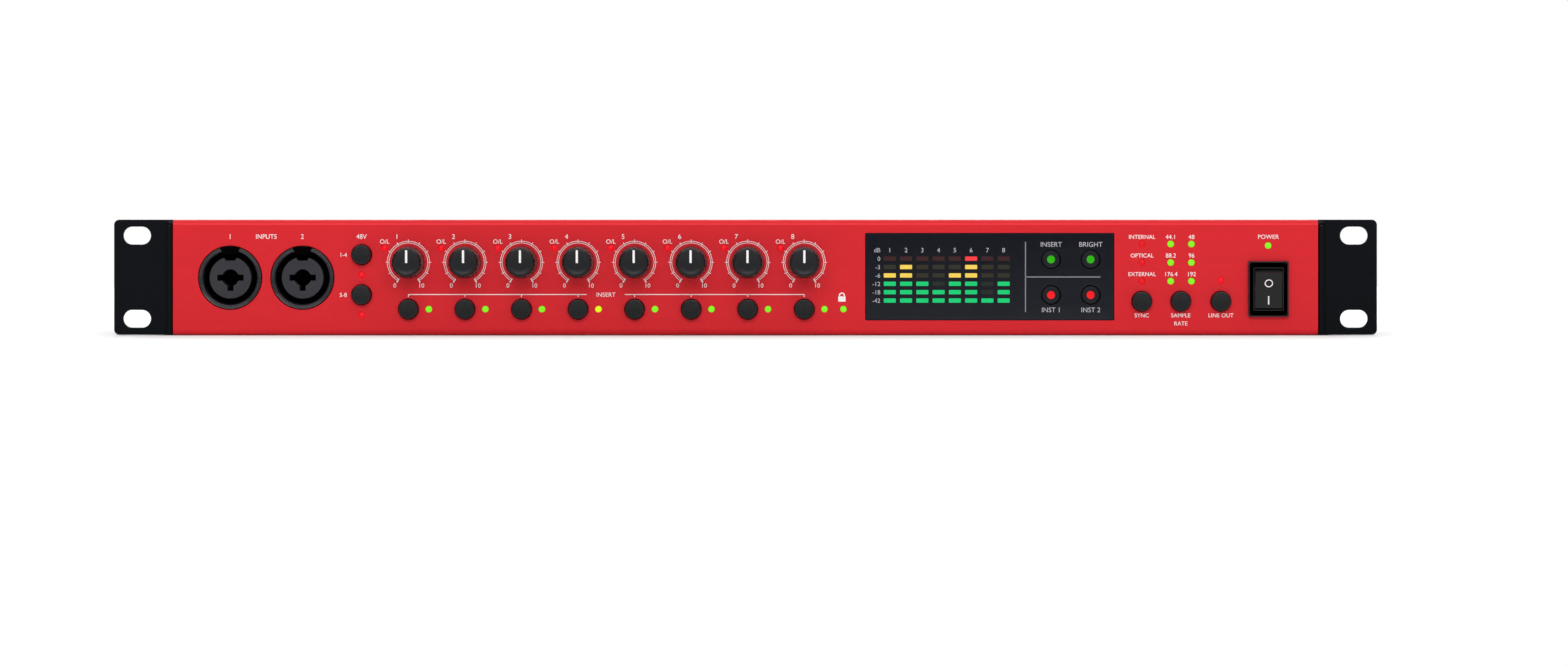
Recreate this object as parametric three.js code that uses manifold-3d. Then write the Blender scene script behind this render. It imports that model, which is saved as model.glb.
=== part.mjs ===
// Eight-channel audio interface: a 19 inch, one-unit rack device, as an assembly of separate pieces.
// Millimetres. +X is to the right as seen from the front, the front faces -Y, and +Z is up.
// The origin is the centre of the underside.

import * as THREE from "three";
import { mergeVertices } from "three/addons/utils/BufferGeometryUtils.js";
import Module from "manifold-3d";

const wasm = await Module();
wasm.setup();

// ---- Driving dimensions ------------------------------------------------------------------------

const HEIGHT = 44;
const SHEET = 1.5;
const COVER = { halfWidth: 223.7, front: -132.8, rear: 133, bottom: 0.5, cornerRadius: 1.8 };
const TRAY = { halfWidth: 222, flange: 10, lip: 4.6, top: 41.7, rearFace: 131.5, foldRadius: 1.5 };
const FASCIA = { halfWidth: 218.6, front: -138, thickness: 5, edgeRadius: 2.2 };
const EAR = { inner: 218.9, outer: 241.3, front: -136.5, back: -133.5, cornerRadius: 2 };
const EAR_RIB = { width: 2.3, proud: 1 };
const EAR_LEG = { inner: 223.9, outer: 225, length: 40, bottom: 3, top: 41 };
const EAR_SLOT = { x: 232.55, z: [6.1, 37.9], length: 10.7, width: 6.8 };

const CHANNELS = 8;
const CHANNEL_PITCH = 21.59;
const FIRST_CHANNEL_X = -128.7;
const KNOB_Z = 27.7;
const BUTTON_Z = 9.8;
const CLIP_LED = { dx: -9.1, z: 33.1 };
const CHANNEL_LED_DX = 7.75;
const LOCK_LED_X = 37.4;

const PHANTOM_X = -146.6;
const PHANTOM_Z = [30.6, 15.3];
const PHANTOM_LED_Z = [23, 7.5];

const WINDOW = { x0: 45.7, x1: 140.8, z0: 5.5, z1: 38.9, thickness: 3, gap: 0.15 };
const METER = { x0: 51, x1: 102, z0: 11, z1: 31 };
const MODE_X = [116.7, 131.8];
const MODE_Z = [28.8, 15.2];

const CLOCK_LED_X = [151.4, 162.4, 170.3];
const CLOCK_LED_Z = [34.7, 27.6, 20.5];
const LINE_LED = { x: 181.5, z: 20.8 };
const CLOCK_BUTTONS = { sync_button: 151.3, sample_rate_button: 166.2, line_button: 181.5 };
const CLOCK_BUTTON_Z = 12.8;

const POWER = { x: 199.6, z: 17.5, ledZ: 34.1, openX: 10.9, openZ: 15.8 };
const BEZEL = { x: 15.3, z: 21.2, proud: 1.8 };
const POWER_BODY = { wall: 1.1, depth: 19, pocket: 11 };
const ROCKER = { radius: 7.6, width: 10.3, pivotY: 0.3, slope: 10, valley: 2, back: 5.5 };
const ROCKER_ARC = [-26, -18, -8, 2, 12, 22];
const ROCKER_PIN = { radius: 1.4, reach: 0.9 };

const COMBO = { ring: 12, rim: 10.25, core: 7.9, bore: 3.2, proud: 0.6 };
const COMBO_DEPTH = { bore: 21, gap: 13, whole: 25 };
const COMBO_FLANGE = { x: 25.4, z: 30.4, thickness: 1.8 };
const COMBO_FRONT_X = [-196.8, -169.2];
const COMBO_FRONT_Z = 21.8;
const COMBO_REAR_X = [181.7, 135.9, 90.3, 44.9, -0.4, -45.6];
const COMBO_REAR_Z = 22.2;

const JACK = { bush: 5.4, bore: 3.15, proud: 5, depth: 30, body: 15.6 };
const JACK_REAR_X = [159.4, 113.8, 68, 22.5, -23, -68.2];
const JACK_REAR_Z = 13.6;
const JACK_PAIR = { x: 205.1, z: [32.7, 12.8] };

// Rear connectors, placed as seen from behind: x is to the right there.
const INLET = { x: -204, z: 22.4, flangeX: 24.7, flangeZ: 30.8, proud: 2.6, bodyX: 20.4, bodyZ: 27.8 };
const INLET_CAVITY = { x: 16.6, z: 24.7, cutX: 4.9, cutZ: 4.3, shift: -1, depth: 17 };
const INLET_PINS = { at: [[-3.4, 0], [1.7, 6.8], [1.7, -7.2]], wide: 4, thick: 2, tip: 2 };
const OPTICAL = { x: [-178, -159.6], z: [26.2, 13.3], width: 13.4, height: 25.5 };
const OPTICAL_SOCKET = { x: 6.6, z: 7.4, depth: 12 };
const OPTICAL_CUT = { x: 10.2, z: 9.1 };
const SHUTTER = { width: 6.2, height: 6.65, thickness: 0.9, cornerRadius: 1.6, sunk: 0.4, hingeAbove: 3.15 };
const BNC = { x: -141.2, z: [28.8, 13.5], barrel: 4.8, wall: 0.75, proud: 10 };
const BNC_FLANGE = { radius: 6.55, proud: 1.6 };
const BNC_PIN = { radius: 2.5, proud: 5, floor: 0.6 };
const BNC_BRACKET = { x: 15, z: 31, depth: 12 };
const MULTIWAY = { x: -105, z: 13.3, topX: 42.3, bottomX: 38.9, height: 11.5, proud: 5.8 };
const MULTIWAY_BODY = { x: 53, z: 12.4, depth: 14, inset: 1.8, rim: 0.8 };

const POT = { radius: 6.2, gap: 1.4 };
const SWITCH_SIDE = 7;
const LAMP = { radius: 1.1, face: 1.2 };
const PCB = { thickness: 1.6, front: -124, x0: -156, x1: 189.5, z0: 3.2, z1: 41 };
const MAIN_PCB = { x0: -214, x1: 108, y0: -108, y1: 98, z: 8 };
const SUPPLY = { x0: 118, x1: 206, y0: -96, y1: 92, z: 5 };

const KNOB = { base: 6.2, shoulder: 6, rim: 5.55, face: 4.85, length: 13, lift: 0.6 };
const SHAFT = { radius: 3, depth: 12 };
const BUTTON = { radius: 3.75, proud: 2.7, collar: 4.7, travel: 1.5 };
const STEM = { radius: 1.8, collarThickness: 1, length: 2.4, edge: 0.4 };
const MODE_BUTTON = { radius: 3.6, hole: 3.85, sunk: 0.8, collar: 4.5 };
const CLEAR = 0.3;
const BUTTON_HOLE = 3.95;
const SHAFT_HOLE = 3.7;
const LED_HOLE = 1.35;

// Facets round each kind of circle.
const SIDES = { combo: 18, knob: 16, button: 12, lamp: 6, socket: 12 };

// ---- Finishes ----------------------------------------------------------------------------------

const FINISH = {
  red: [0xd6222a, 0.42, 0.6],
  black: [0x141719, 0.55, 0.3],
  sheet: [0x363842, 0.6, 0.4],
  window: [0x14151b, 0.12, 0],
  plastic: [0x232528, 0.5, 0],
  grey: [0x4b4d52, 0.45, 0],
  board: [0x14472a, 0.6, 0],
  nickel: [0xd8d3cb, 0.25, 1],
  orange: [0xfc964b, 0.45, 0],
};

function finish(name) {
  const [color, roughness, metalness] = FINISH[name];
  return new THREE.MeshStandardMaterial({ color, roughness, metalness });
}

// ---- Solids ------------------------------------------------------------------------------------

function solid(geometry) {
  geometry.deleteAttribute("normal");
  geometry.deleteAttribute("uv");
  const merged = mergeVertices(geometry, 1e-4);
  const mesh = new wasm.Mesh({
    numProp: 3,
    vertProperties: new Float32Array(merged.attributes.position.array),
    triVerts: new Uint32Array(merged.index.array),
  });
  return new wasm.Manifold(mesh);
}

function toGeometry(shape) {
  const mesh = shape.getMesh();
  const geometry = new THREE.BufferGeometry();
  geometry.setAttribute("position", new THREE.BufferAttribute(mesh.vertProperties, 3));
  geometry.setIndex(new THREE.BufferAttribute(mesh.triVerts, 1));
  return geometry;
}

function join(shapes) {
  return shapes.reduce((whole, shape) => whole.add(shape));
}

function block(x0, x1, y0, y1, z0, z1) {
  const box = new THREE.BoxGeometry(x1 - x0, y1 - y0, z1 - z0);
  box.translate((x0 + x1) / 2, (y0 + y1) / 2, (z0 + z1) / 2);
  return solid(box);
}

// A block centred on (x, z) that runs from y0 to y1.
function bar(x, z, width, height, y0, y1) {
  return block(x - width / 2, x + width / 2, y0, y1, z - height / 2, z + height / 2);
}

// A round rod along Y, from y0 to y1.
function rod(x, z, radius, y0, y1, sides) {
  const cylinder = new THREE.CylinderGeometry(radius, radius, y1 - y0, sides);
  cylinder.rotateY(Math.PI / sides);
  cylinder.translate(x, (y0 + y1) / 2, z);
  return solid(cylinder);
}

// A turned solid about Y. The profile is [radius, y] pairs, from the axis at its low-y end to the
// axis at its high-y end.
function turned(profile, sides, x = 0, z = 0) {
  const points = profile.map(([radius, y]) => new THREE.Vector2(radius, y));
  const lathe = new THREE.LatheGeometry(points, sides);
  lathe.rotateY(Math.PI / sides);
  lathe.translate(x, 0, z);
  return solid(lathe);
}

// Extrudes an outline drawn in X and Z along Y, from y0 to y1.
function plate(outline, y0, y1, curveSegments = 6) {
  const extruded = new THREE.ExtrudeGeometry(outline, {
    depth: y1 - y0,
    bevelEnabled: false,
    curveSegments,
  });
  extruded.rotateX(Math.PI / 2);
  extruded.translate(0, y1, 0);
  return solid(extruded);
}

// Extrudes an outline drawn in Y and Z along X, from x0 to x1.
function profileAlongX(outline, x0, x1, curveSegments = 4) {
  const extruded = new THREE.ExtrudeGeometry(outline, {
    depth: x1 - x0,
    bevelEnabled: false,
    curveSegments,
  });
  extruded.rotateY(Math.PI / 2);
  extruded.rotateX(Math.PI / 2);
  extruded.translate(x0, 0, 0);
  return solid(extruded);
}

function polygon(points) {
  return new THREE.Shape(points.map(([x, y]) => new THREE.Vector2(x, y)));
}

function roundedBox(x0, x1, z0, z1, radius) {
  const shape = new THREE.Shape();
  shape.moveTo(x0 + radius, z0);
  shape.lineTo(x1 - radius, z0);
  shape.absarc(x1 - radius, z0 + radius, radius, -Math.PI / 2, 0);
  shape.lineTo(x1, z1 - radius);
  shape.absarc(x1 - radius, z1 - radius, radius, 0, Math.PI / 2);
  shape.lineTo(x0 + radius, z1);
  shape.absarc(x0 + radius, z1 - radius, radius, Math.PI / 2, Math.PI);
  shape.lineTo(x0, z0 + radius);
  shape.absarc(x0 + radius, z0 + radius, radius, Math.PI, Math.PI * 1.5);
  return shape;
}

// ---- The assembly ------------------------------------------------------------------------------

const assembly = new THREE.Group();
assembly.name = "audio_interface";

// Rear connectors live in a group turned to face +Y, so that their own front also points to -Y and
// their x runs to the right as seen from behind. Its y = 0 is the outside of the rear panel.
const rear = new THREE.Group();
rear.rotation.z = Math.PI;
rear.position.y = TRAY.rearFace;
assembly.add(rear);

// Front controls live in a group whose y = 0 is the face of the front panel.
const front = new THREE.Group();
front.position.y = FASCIA.front;
assembly.add(front);

function place(parent, name, geometry, finishName, x = 0, y = 0, z = 0) {
  const mesh = new THREE.Mesh(geometry, finish(finishName));
  mesh.name = name;
  mesh.position.set(x, y, z);
  parent.add(mesh);
  return mesh;
}

function channelX(index) {
  return FIRST_CHANNEL_X + CHANNEL_PITCH * index;
}

// ---- Case --------------------------------------------------------------------------------------

// The fascia's section: square at the back, rounded at the two front edges.
function fasciaSection() {
  const r = FASCIA.edgeRadius;
  const shape = new THREE.Shape();
  shape.moveTo(FASCIA.thickness, 0);
  shape.lineTo(FASCIA.thickness, HEIGHT);
  shape.lineTo(r, HEIGHT);
  shape.absarc(r, HEIGHT - r, r, Math.PI / 2, Math.PI);
  shape.lineTo(0, r);
  shape.absarc(r, r, r, Math.PI, Math.PI * 1.5);
  return shape;
}

// Every hole through the front panel, as one set of cutters.
function fasciaCutters() {
  const y0 = -1;
  const y1 = FASCIA.thickness + 1;
  const hole = (x, z, radius, sides) => rod(x, z, radius, y0, y1, sides);
  const cutters = COMBO_FRONT_X.map((x) => hole(x, COMBO_FRONT_Z, COMBO.ring + CLEAR, SIDES.combo));
  for (const z of PHANTOM_Z) cutters.push(hole(PHANTOM_X, z, BUTTON_HOLE, SIDES.button));
  for (const z of PHANTOM_LED_Z) cutters.push(hole(PHANTOM_X, z, LED_HOLE, SIDES.lamp));
  for (let i = 0; i < CHANNELS; i++) {
    const x = channelX(i);
    cutters.push(hole(x, KNOB_Z, SHAFT_HOLE, SIDES.button));
    cutters.push(hole(x, BUTTON_Z, BUTTON_HOLE, SIDES.button));
    cutters.push(hole(x + CHANNEL_LED_DX, BUTTON_Z, LED_HOLE, SIDES.lamp));
    cutters.push(hole(x + CLIP_LED.dx, CLIP_LED.z, LED_HOLE, SIDES.lamp));
  }
  cutters.push(hole(LOCK_LED_X, BUTTON_Z, LED_HOLE, SIDES.lamp));
  for (const x of Object.values(CLOCK_BUTTONS)) {
    cutters.push(hole(x, CLOCK_BUTTON_Z, BUTTON_HOLE, SIDES.button));
  }
  for (const x of CLOCK_LED_X) {
    for (const z of CLOCK_LED_Z) cutters.push(hole(x, z, LED_HOLE, SIDES.lamp));
  }
  cutters.push(hole(LINE_LED.x, LINE_LED.z, LED_HOLE, SIDES.lamp));
  cutters.push(hole(POWER.x, POWER.ledZ, LED_HOLE, SIDES.lamp));
  const grow = 2 * (POWER_BODY.wall + CLEAR);
  cutters.push(bar(POWER.x, POWER.z, POWER.openX + grow, POWER.openZ + grow, y0, y1));
  cutters.push(block(WINDOW.x0, WINDOW.x1, y0, y1, WINDOW.z0, WINDOW.z1));
  return join(cutters);
}

function frontPanelGeometry() {
  const panel = profileAlongX(fasciaSection(), -FASCIA.halfWidth, FASCIA.halfWidth);
  return toGeometry(panel.subtract(fasciaCutters()));
}

function slotOutline(x, z) {
  const r = EAR_SLOT.width / 2;
  const dx = EAR_SLOT.length / 2 - r;
  const shape = new THREE.Shape();
  shape.absarc(x + dx, z, r, -Math.PI / 2, Math.PI / 2);
  shape.absarc(x - dx, z, r, Math.PI / 2, Math.PI * 1.5);
  return shape;
}

// One rack ear: the slotted plate, its raised inner rib and the leg that runs back along the case.
function rackEarGeometry() {
  const r = EAR.cornerRadius;
  const outline = new THREE.Shape();
  outline.moveTo(EAR.inner, 0);
  outline.lineTo(EAR.outer - r, 0);
  outline.absarc(EAR.outer - r, r, r, -Math.PI / 2, 0);
  outline.lineTo(EAR.outer, HEIGHT - r);
  outline.absarc(EAR.outer - r, HEIGHT - r, r, 0, Math.PI / 2);
  outline.lineTo(EAR.inner, HEIGHT);
  outline.holes = EAR_SLOT.z.map((z) => slotOutline(EAR_SLOT.x, z));
  const rib = block(EAR.inner, EAR.inner + EAR_RIB.width, EAR.front - EAR_RIB.proud, EAR.back, 0, HEIGHT - 2);
  const leg = block(
    EAR_LEG.inner, EAR_LEG.outer, EAR.front, EAR.back + EAR_LEG.length, EAR_LEG.bottom, EAR_LEG.top,
  );
  return toGeometry(join([plate(outline, EAR.front, EAR.back), rib, leg]));
}

// The left ear is the right ear mirrored; its triangles are turned over to keep facing out.
function mirrored(geometry) {
  const copy = geometry.clone();
  copy.scale(-1, 1, 1);
  const index = copy.index.array;
  for (let i = 0; i < index.length; i += 3) {
    [index[i], index[i + 1]] = [index[i + 1], index[i]];
  }
  return copy;
}

// The cover is one sheet folded over the top and down both sides.
function coverGeometry() {
  const w = COVER.halfWidth;
  const r = COVER.cornerRadius;
  const inner = w - SHEET;
  const shape = new THREE.Shape();
  shape.moveTo(w, COVER.bottom);
  shape.lineTo(w, HEIGHT - r);
  shape.absarc(w - r, HEIGHT - r, r, 0, Math.PI / 2);
  shape.lineTo(-w + r, HEIGHT);
  shape.absarc(-w + r, HEIGHT - r, r, Math.PI / 2, Math.PI);
  shape.lineTo(-w, COVER.bottom);
  shape.lineTo(-inner, COVER.bottom);
  shape.lineTo(-inner, HEIGHT - SHEET);
  shape.lineTo(inner, HEIGHT - SHEET);
  shape.lineTo(inner, COVER.bottom);
  return toGeometry(plate(shape, COVER.front, COVER.rear, 4));
}

// The tray's section: front lip, floor and rear panel, folded from one sheet.
function traySection() {
  const r = TRAY.foldRadius;
  const y0 = COVER.front;
  const y1 = TRAY.rearFace;
  const shape = new THREE.Shape();
  shape.moveTo(y0, TRAY.lip);
  shape.lineTo(y0, r);
  shape.absarc(y0 + r, r, r, Math.PI, Math.PI * 1.5);
  shape.lineTo(y1 - r, 0);
  shape.absarc(y1 - r, r, r, -Math.PI / 2, 0);
  shape.lineTo(y1, TRAY.top);
  shape.lineTo(y1 - SHEET, TRAY.top);
  shape.lineTo(y1 - SHEET, SHEET);
  shape.lineTo(y0 + SHEET, SHEET);
  shape.lineTo(y0 + SHEET, TRAY.lip);
  return shape;
}

// Every hole through the rear panel, in the case's own X.
function rearCutters() {
  const y0 = TRAY.rearFace - SHEET - 1;
  const y1 = TRAY.rearFace + 1;
  const hole = (x, z, radius, sides) => rod(-x, z, radius + CLEAR, y0, y1, sides);
  const cutters = COMBO_REAR_X.map((x) => hole(x, COMBO_REAR_Z, COMBO.ring, SIDES.combo));
  for (const x of JACK_REAR_X) cutters.push(hole(x, JACK_REAR_Z, JACK.bush, SIDES.socket));
  for (const z of JACK_PAIR.z) cutters.push(hole(JACK_PAIR.x, z, JACK.bush, SIDES.socket));
  for (const z of BNC.z) cutters.push(hole(BNC.x, z, BNC_FLANGE.radius, SIDES.socket));
  for (const x of OPTICAL.x) {
    for (const z of OPTICAL.z) cutters.push(bar(-x, z, OPTICAL_CUT.x, OPTICAL_CUT.z, y0, y1));
  }
  cutters.push(bar(-INLET.x, INLET.z, INLET.bodyX + 2 * CLEAR, INLET.bodyZ + 2 * CLEAR, y0, y1));
  cutters.push(plate(polygon(multiwayOutline(CLEAR).map(([x, z]) => [-x, z])), y0, y1));
  return join(cutters);
}

function chassisGeometry() {
  const w = TRAY.halfWidth;
  const folded = profileAlongX(traySection(), -w, w);
  const flanges = [-w, w - SHEET].map((x) =>
    block(x, x + SHEET, COVER.front + SHEET / 2, TRAY.rearFace - SHEET / 2, SHEET / 2, TRAY.flange));
  return toGeometry(join([folded, ...flanges]).subtract(rearCutters()));
}

// ---- Front controls ----------------------------------------------------------------------------

// A gain knob: a tapered cap on its shaft, turned about Y. y = 0 is the panel face.
function knobGeometry() {
  const tip = -KNOB.lift - KNOB.length;
  const profile = [
    [0, tip],
    [KNOB.face, tip],
    [KNOB.rim, tip + 1],
    [KNOB.shoulder, tip + 3],
    [KNOB.base, -KNOB.lift],
    [SHAFT.radius, -KNOB.lift],
    [SHAFT.radius, SHAFT.depth],
    [0, SHAFT.depth],
  ];
  return toGeometry(turned(profile, SIDES.knob));
}

// A push button: the cap, the collar behind the panel that keeps it in, and its stem.
function buttonGeometry(radius, faceY, collarRadius) {
  const start = FASCIA.thickness + CLEAR;
  const profile = [
    [0, faceY],
    [radius - STEM.edge, faceY],
    [radius, faceY + STEM.edge],
    [radius, start],
    [collarRadius, start],
    [collarRadius, start + STEM.collarThickness],
    [STEM.radius, start + STEM.collarThickness],
    [STEM.radius, start + STEM.length],
    [0, start + STEM.length],
  ];
  return toGeometry(turned(profile, SIDES.button));
}

function windowGeometry() {
  const g = WINDOW.gap;
  const outline = roundedBox(WINDOW.x0 + g, WINDOW.x1 - g, WINDOW.z0 + g, WINDOW.z1 - g, 0.4);
  const holes = [];
  const hole = (x, z) => rod(x, z, MODE_BUTTON.hole, -1, WINDOW.thickness + 1, SIDES.button);
  for (const x of MODE_X) {
    for (const z of MODE_Z) holes.push(hole(x, z));
  }
  return toGeometry(plate(outline, 0.05, WINDOW.thickness, 2).subtract(join(holes)));
}

// The board behind the fascia, with its pots, switches, indicator lamps and bar-graph meter.
function frontBoardGeometry() {
  const face = PCB.front - FASCIA.front;
  const parts = [block(PCB.x0, PCB.x1, face, face + PCB.thickness, PCB.z0, PCB.z1)];
  const lamp = (x, z) => rod(x, z, LAMP.radius, LAMP.face, face + 0.5, SIDES.lamp);
  const gate = FASCIA.thickness + STEM.length + BUTTON.travel + 2 * CLEAR;
  const sw = (x, z) => bar(x, z, SWITCH_SIDE, SWITCH_SIDE, gate, face + 0.5);
  const potFace = FASCIA.thickness + POT.gap;
  const bores = [];
  for (let i = 0; i < CHANNELS; i++) {
    const x = channelX(i);
    parts.push(rod(x, KNOB_Z, POT.radius, potFace, face + 0.5, SIDES.button));
    bores.push(rod(x, KNOB_Z, SHAFT.radius + CLEAR, potFace - 1, SHAFT.depth + CLEAR, SIDES.button));
    parts.push(sw(x, BUTTON_Z));
    parts.push(lamp(x + CHANNEL_LED_DX, BUTTON_Z));
    parts.push(lamp(x + CLIP_LED.dx, CLIP_LED.z));
  }
  for (const z of PHANTOM_Z) parts.push(sw(PHANTOM_X, z));
  for (const z of PHANTOM_LED_Z) parts.push(lamp(PHANTOM_X, z));
  parts.push(lamp(LOCK_LED_X, BUTTON_Z));
  for (const x of MODE_X) {
    for (const z of MODE_Z) parts.push(sw(x, z));
  }
  for (const x of Object.values(CLOCK_BUTTONS)) parts.push(sw(x, CLOCK_BUTTON_Z));
  for (const x of CLOCK_LED_X) {
    for (const z of CLOCK_LED_Z) parts.push(lamp(x, z));
  }
  parts.push(lamp(LINE_LED.x, LINE_LED.z));
  parts.push(block(METER.x0, METER.x1, WINDOW.thickness + CLEAR, face + 0.5, METER.z0, METER.z1));
  return toGeometry(join(parts).subtract(join(bores)));
}

// ---- Power switch ------------------------------------------------------------------------------

// Bezel and housing, open at the front for the rocker, with a socket each side for its pins.
function powerHousingGeometry() {
  const { wall, depth, pocket } = POWER_BODY;
  const socketRadius = ROCKER_PIN.radius + 0.2;
  const socketSpan = ROCKER.width + 2 * (ROCKER_PIN.reach + 0.4);
  const pinSocket = new THREE.CylinderGeometry(socketRadius, socketRadius, socketSpan, 10);
  pinSocket.rotateZ(Math.PI / 2);
  pinSocket.translate(0, ROCKER.pivotY, 0);
  const parts = [
    bar(0, 0, BEZEL.x, BEZEL.z, -BEZEL.proud, -0.1),
    bar(0, 0, POWER.openX + 2 * wall, POWER.openZ + 2 * wall, -0.6, depth),
  ];
  const cavity = bar(0, 0, POWER.openX, POWER.openZ, -3, pocket);
  return toGeometry(join(parts).subtract(cavity).subtract(solid(pinSocket)));
}

// The rocker's section in Y and Z about its pivot, turned by half its throw so that it rests on.
function rockerGeometry() {
  const rest = THREE.MathUtils.degToRad(ROCKER.slope);
  const arc = (degrees) => {
    const a = THREE.MathUtils.degToRad(degrees);
    return [ROCKER.radius * Math.sin(a), ROCKER.radius * Math.cos(a)];
  };
  const upper = ROCKER_ARC.map(arc);
  const lower = upper.map(([y, z]) => [y, -z]).reverse();
  const points = [[-ROCKER.valley, 0], ...upper, [ROCKER.back, 0], ...lower].map(([y, z]) => [
    y * Math.cos(rest) - z * Math.sin(rest),
    y * Math.sin(rest) + z * Math.cos(rest),
  ]);
  const body = profileAlongX(polygon(points), -ROCKER.width / 2, ROCKER.width / 2);
  const span = ROCKER.width + 2 * ROCKER_PIN.reach;
  const pins = new THREE.CylinderGeometry(ROCKER_PIN.radius, ROCKER_PIN.radius, span, 10);
  pins.rotateZ(Math.PI / 2);
  return toGeometry(body.add(solid(pins)));
}

// ---- Connectors --------------------------------------------------------------------------------

// A combination jack: ring, annular socket, core with its centre bore, and the flange behind the
// panel. y = 0 is the panel's face.
function comboGeometry(panel) {
  const profile = [
    [0, COMBO_DEPTH.bore],
    [COMBO.bore, COMBO_DEPTH.bore],
    [COMBO.bore, 1],
    [COMBO.core, 1],
    [COMBO.core, COMBO_DEPTH.gap],
    [COMBO.rim, COMBO_DEPTH.gap],
    [COMBO.rim, -COMBO.proud],
    [COMBO.ring, -COMBO.proud],
    [COMBO.ring, COMBO_DEPTH.whole],
    [0, COMBO_DEPTH.whole],
  ];
  const start = panel + CLEAR;
  const flange = bar(0, 0, COMBO_FLANGE.x, COMBO_FLANGE.z, start, start + COMBO_FLANGE.thickness);
  const gap = rod(0, 0, COMBO.rim + 0.4, panel, panel + 3, SIDES.combo);
  const body = turned(profile, SIDES.combo);
  return toGeometry(body.add(flange.subtract(gap)));
}

// The threaded bush and the moulded body of a quarter-inch jack, with the bore drilled through both.
function jackGeometry(heights) {
  const bodies = heights.map((z) => {
    const bush = rod(0, z, JACK.bush, -JACK.proud, SHEET + 2, SIDES.socket);
    return bush.add(bar(0, z, JACK.body, JACK.body, SHEET + CLEAR, JACK.depth));
  });
  const bores = heights.map((z) => rod(0, z, JACK.bore, -JACK.proud - 1, JACK.depth - 4, SIDES.socket));
  if (heights.length > 1) {
    const middle = (heights[0] + heights[1]) / 2;
    const span = Math.abs(heights[0] - heights[1]);
    bodies.push(bar(0, middle, JACK.body - 1, span, SHEET + CLEAR + 1, JACK.depth - 1));
  }
  return toGeometry(join(bodies).subtract(join(bores)));
}

// The mains inlet: flange outside the panel, cavity with two cut corners, and three flat pins.
function inletGeometry() {
  const { shift, depth, cutX, cutZ } = INLET_CAVITY;
  const shell = bar(0, 0, INLET.flangeX, INLET.flangeZ, -INLET.proud, 0);
  const body = bar(0, 0, INLET.bodyX, INLET.bodyZ, -1, depth + 4);
  const right = INLET_CAVITY.x / 2 + shift;
  const left = -INLET_CAVITY.x / 2 + shift;
  const z = INLET_CAVITY.z / 2;
  const cavity = plate(polygon([
    [right, -z], [right, z], [left + cutX, z], [left, z - cutZ], [left, -z + cutZ], [left + cutX, -z],
  ]), -4, depth);
  const pin = ([px, pz]) => bar(px, pz, INLET_PINS.wide, INLET_PINS.thick, INLET_PINS.tip, depth + 1);
  return toGeometry(join([shell.add(body).subtract(cavity), ...INLET_PINS.at.map(pin)]));
}

// One optical module: a block behind the panel with two square sockets and a fixing wing.
function opticalGeometry() {
  const y0 = SHEET + CLEAR;
  const middle = (OPTICAL.z[0] + OPTICAL.z[1]) / 2;
  const back = y0 + OPTICAL_SOCKET.depth;
  const body = bar(0, middle, OPTICAL.width, OPTICAL.height, y0, back + 3);
  const wing = block(-OPTICAL.width / 2 - 3, 0, y0, y0 + 2, middle - 5, middle + 5);
  const sockets = OPTICAL.z.map((z) => bar(0, z, OPTICAL_SOCKET.x, OPTICAL_SOCKET.z, y0 - 1, back));
  return toGeometry(join([body, wing]).subtract(join(sockets)));
}

// A sprung shutter that closes an optical socket, with rounded lower corners; hinged at its top,
// low enough for its upper corners to clear the socket as it turns.
function shutterGeometry() {
  const w = SHUTTER.width / 2;
  const r = SHUTTER.cornerRadius;
  const shape = new THREE.Shape();
  shape.moveTo(-w, 0);
  shape.lineTo(-w, -SHUTTER.height + r);
  shape.absarc(-w + r, -SHUTTER.height + r, r, Math.PI, Math.PI * 1.5);
  shape.lineTo(w - r, -SHUTTER.height);
  shape.absarc(w - r, -SHUTTER.height + r, r, -Math.PI / 2, 0);
  shape.lineTo(w, 0);
  return toGeometry(plate(shape, 0, SHUTTER.thickness, 4));
}

// Two bayonet coaxial sockets on one bracket.
function bncGeometry() {
  const middle = (BNC.z[0] + BNC.z[1]) / 2;
  const start = SHEET + CLEAR;
  const parts = [bar(0, middle, BNC_BRACKET.x, BNC_BRACKET.z, start, start + BNC_BRACKET.depth)];
  const inner = BNC.barrel - BNC.wall;
  const profile = [
    [0, -BNC_PIN.proud],
    [BNC_PIN.radius, -BNC_PIN.proud],
    [BNC_PIN.radius, BNC_PIN.floor],
    [inner, BNC_PIN.floor],
    [inner, -BNC.proud],
    [BNC.barrel, -BNC.proud],
    [BNC.barrel, -BNC_FLANGE.proud],
    [BNC_FLANGE.radius, -BNC_FLANGE.proud],
    [BNC_FLANGE.radius, SHEET + 1],
    [0, SHEET + 1],
  ];
  for (const z of BNC.z) parts.push(turned(profile, SIDES.socket, 0, z));
  return toGeometry(join(parts));
}

// The outline of the 25-way connector's base, wider at the top.
function multiwayOutline(grow = 0) {
  const top = MULTIWAY.topX / 2 + grow;
  const bottom = MULTIWAY.bottomX / 2 + grow;
  const half = MULTIWAY.height / 2 + grow;
  const { x, z } = MULTIWAY;
  return [[x - bottom, z - half], [x + bottom, z - half], [x + top, z + half], [x - top, z + half]];
}

function multiwayGeometry() {
  const base = plate(polygon(multiwayOutline()), -MULTIWAY_BODY.rim, SHEET + 1);
  const shell = plate(polygon(multiwayOutline(-MULTIWAY_BODY.inset)), -MULTIWAY.proud, 0);
  const { x, z } = MULTIWAY;
  const body = bar(x, z, MULTIWAY_BODY.x, MULTIWAY_BODY.z, SHEET + CLEAR, MULTIWAY_BODY.depth);
  return toGeometry(join([base, shell, body]));
}

// ---- Inside ------------------------------------------------------------------------------------

// A post from the chassis floor into the underside of a board at height z.
function standoff(x, y, z) {
  return block(x - 3, x + 3, y - 3, y + 3, SHEET, z + 1);
}

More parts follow.
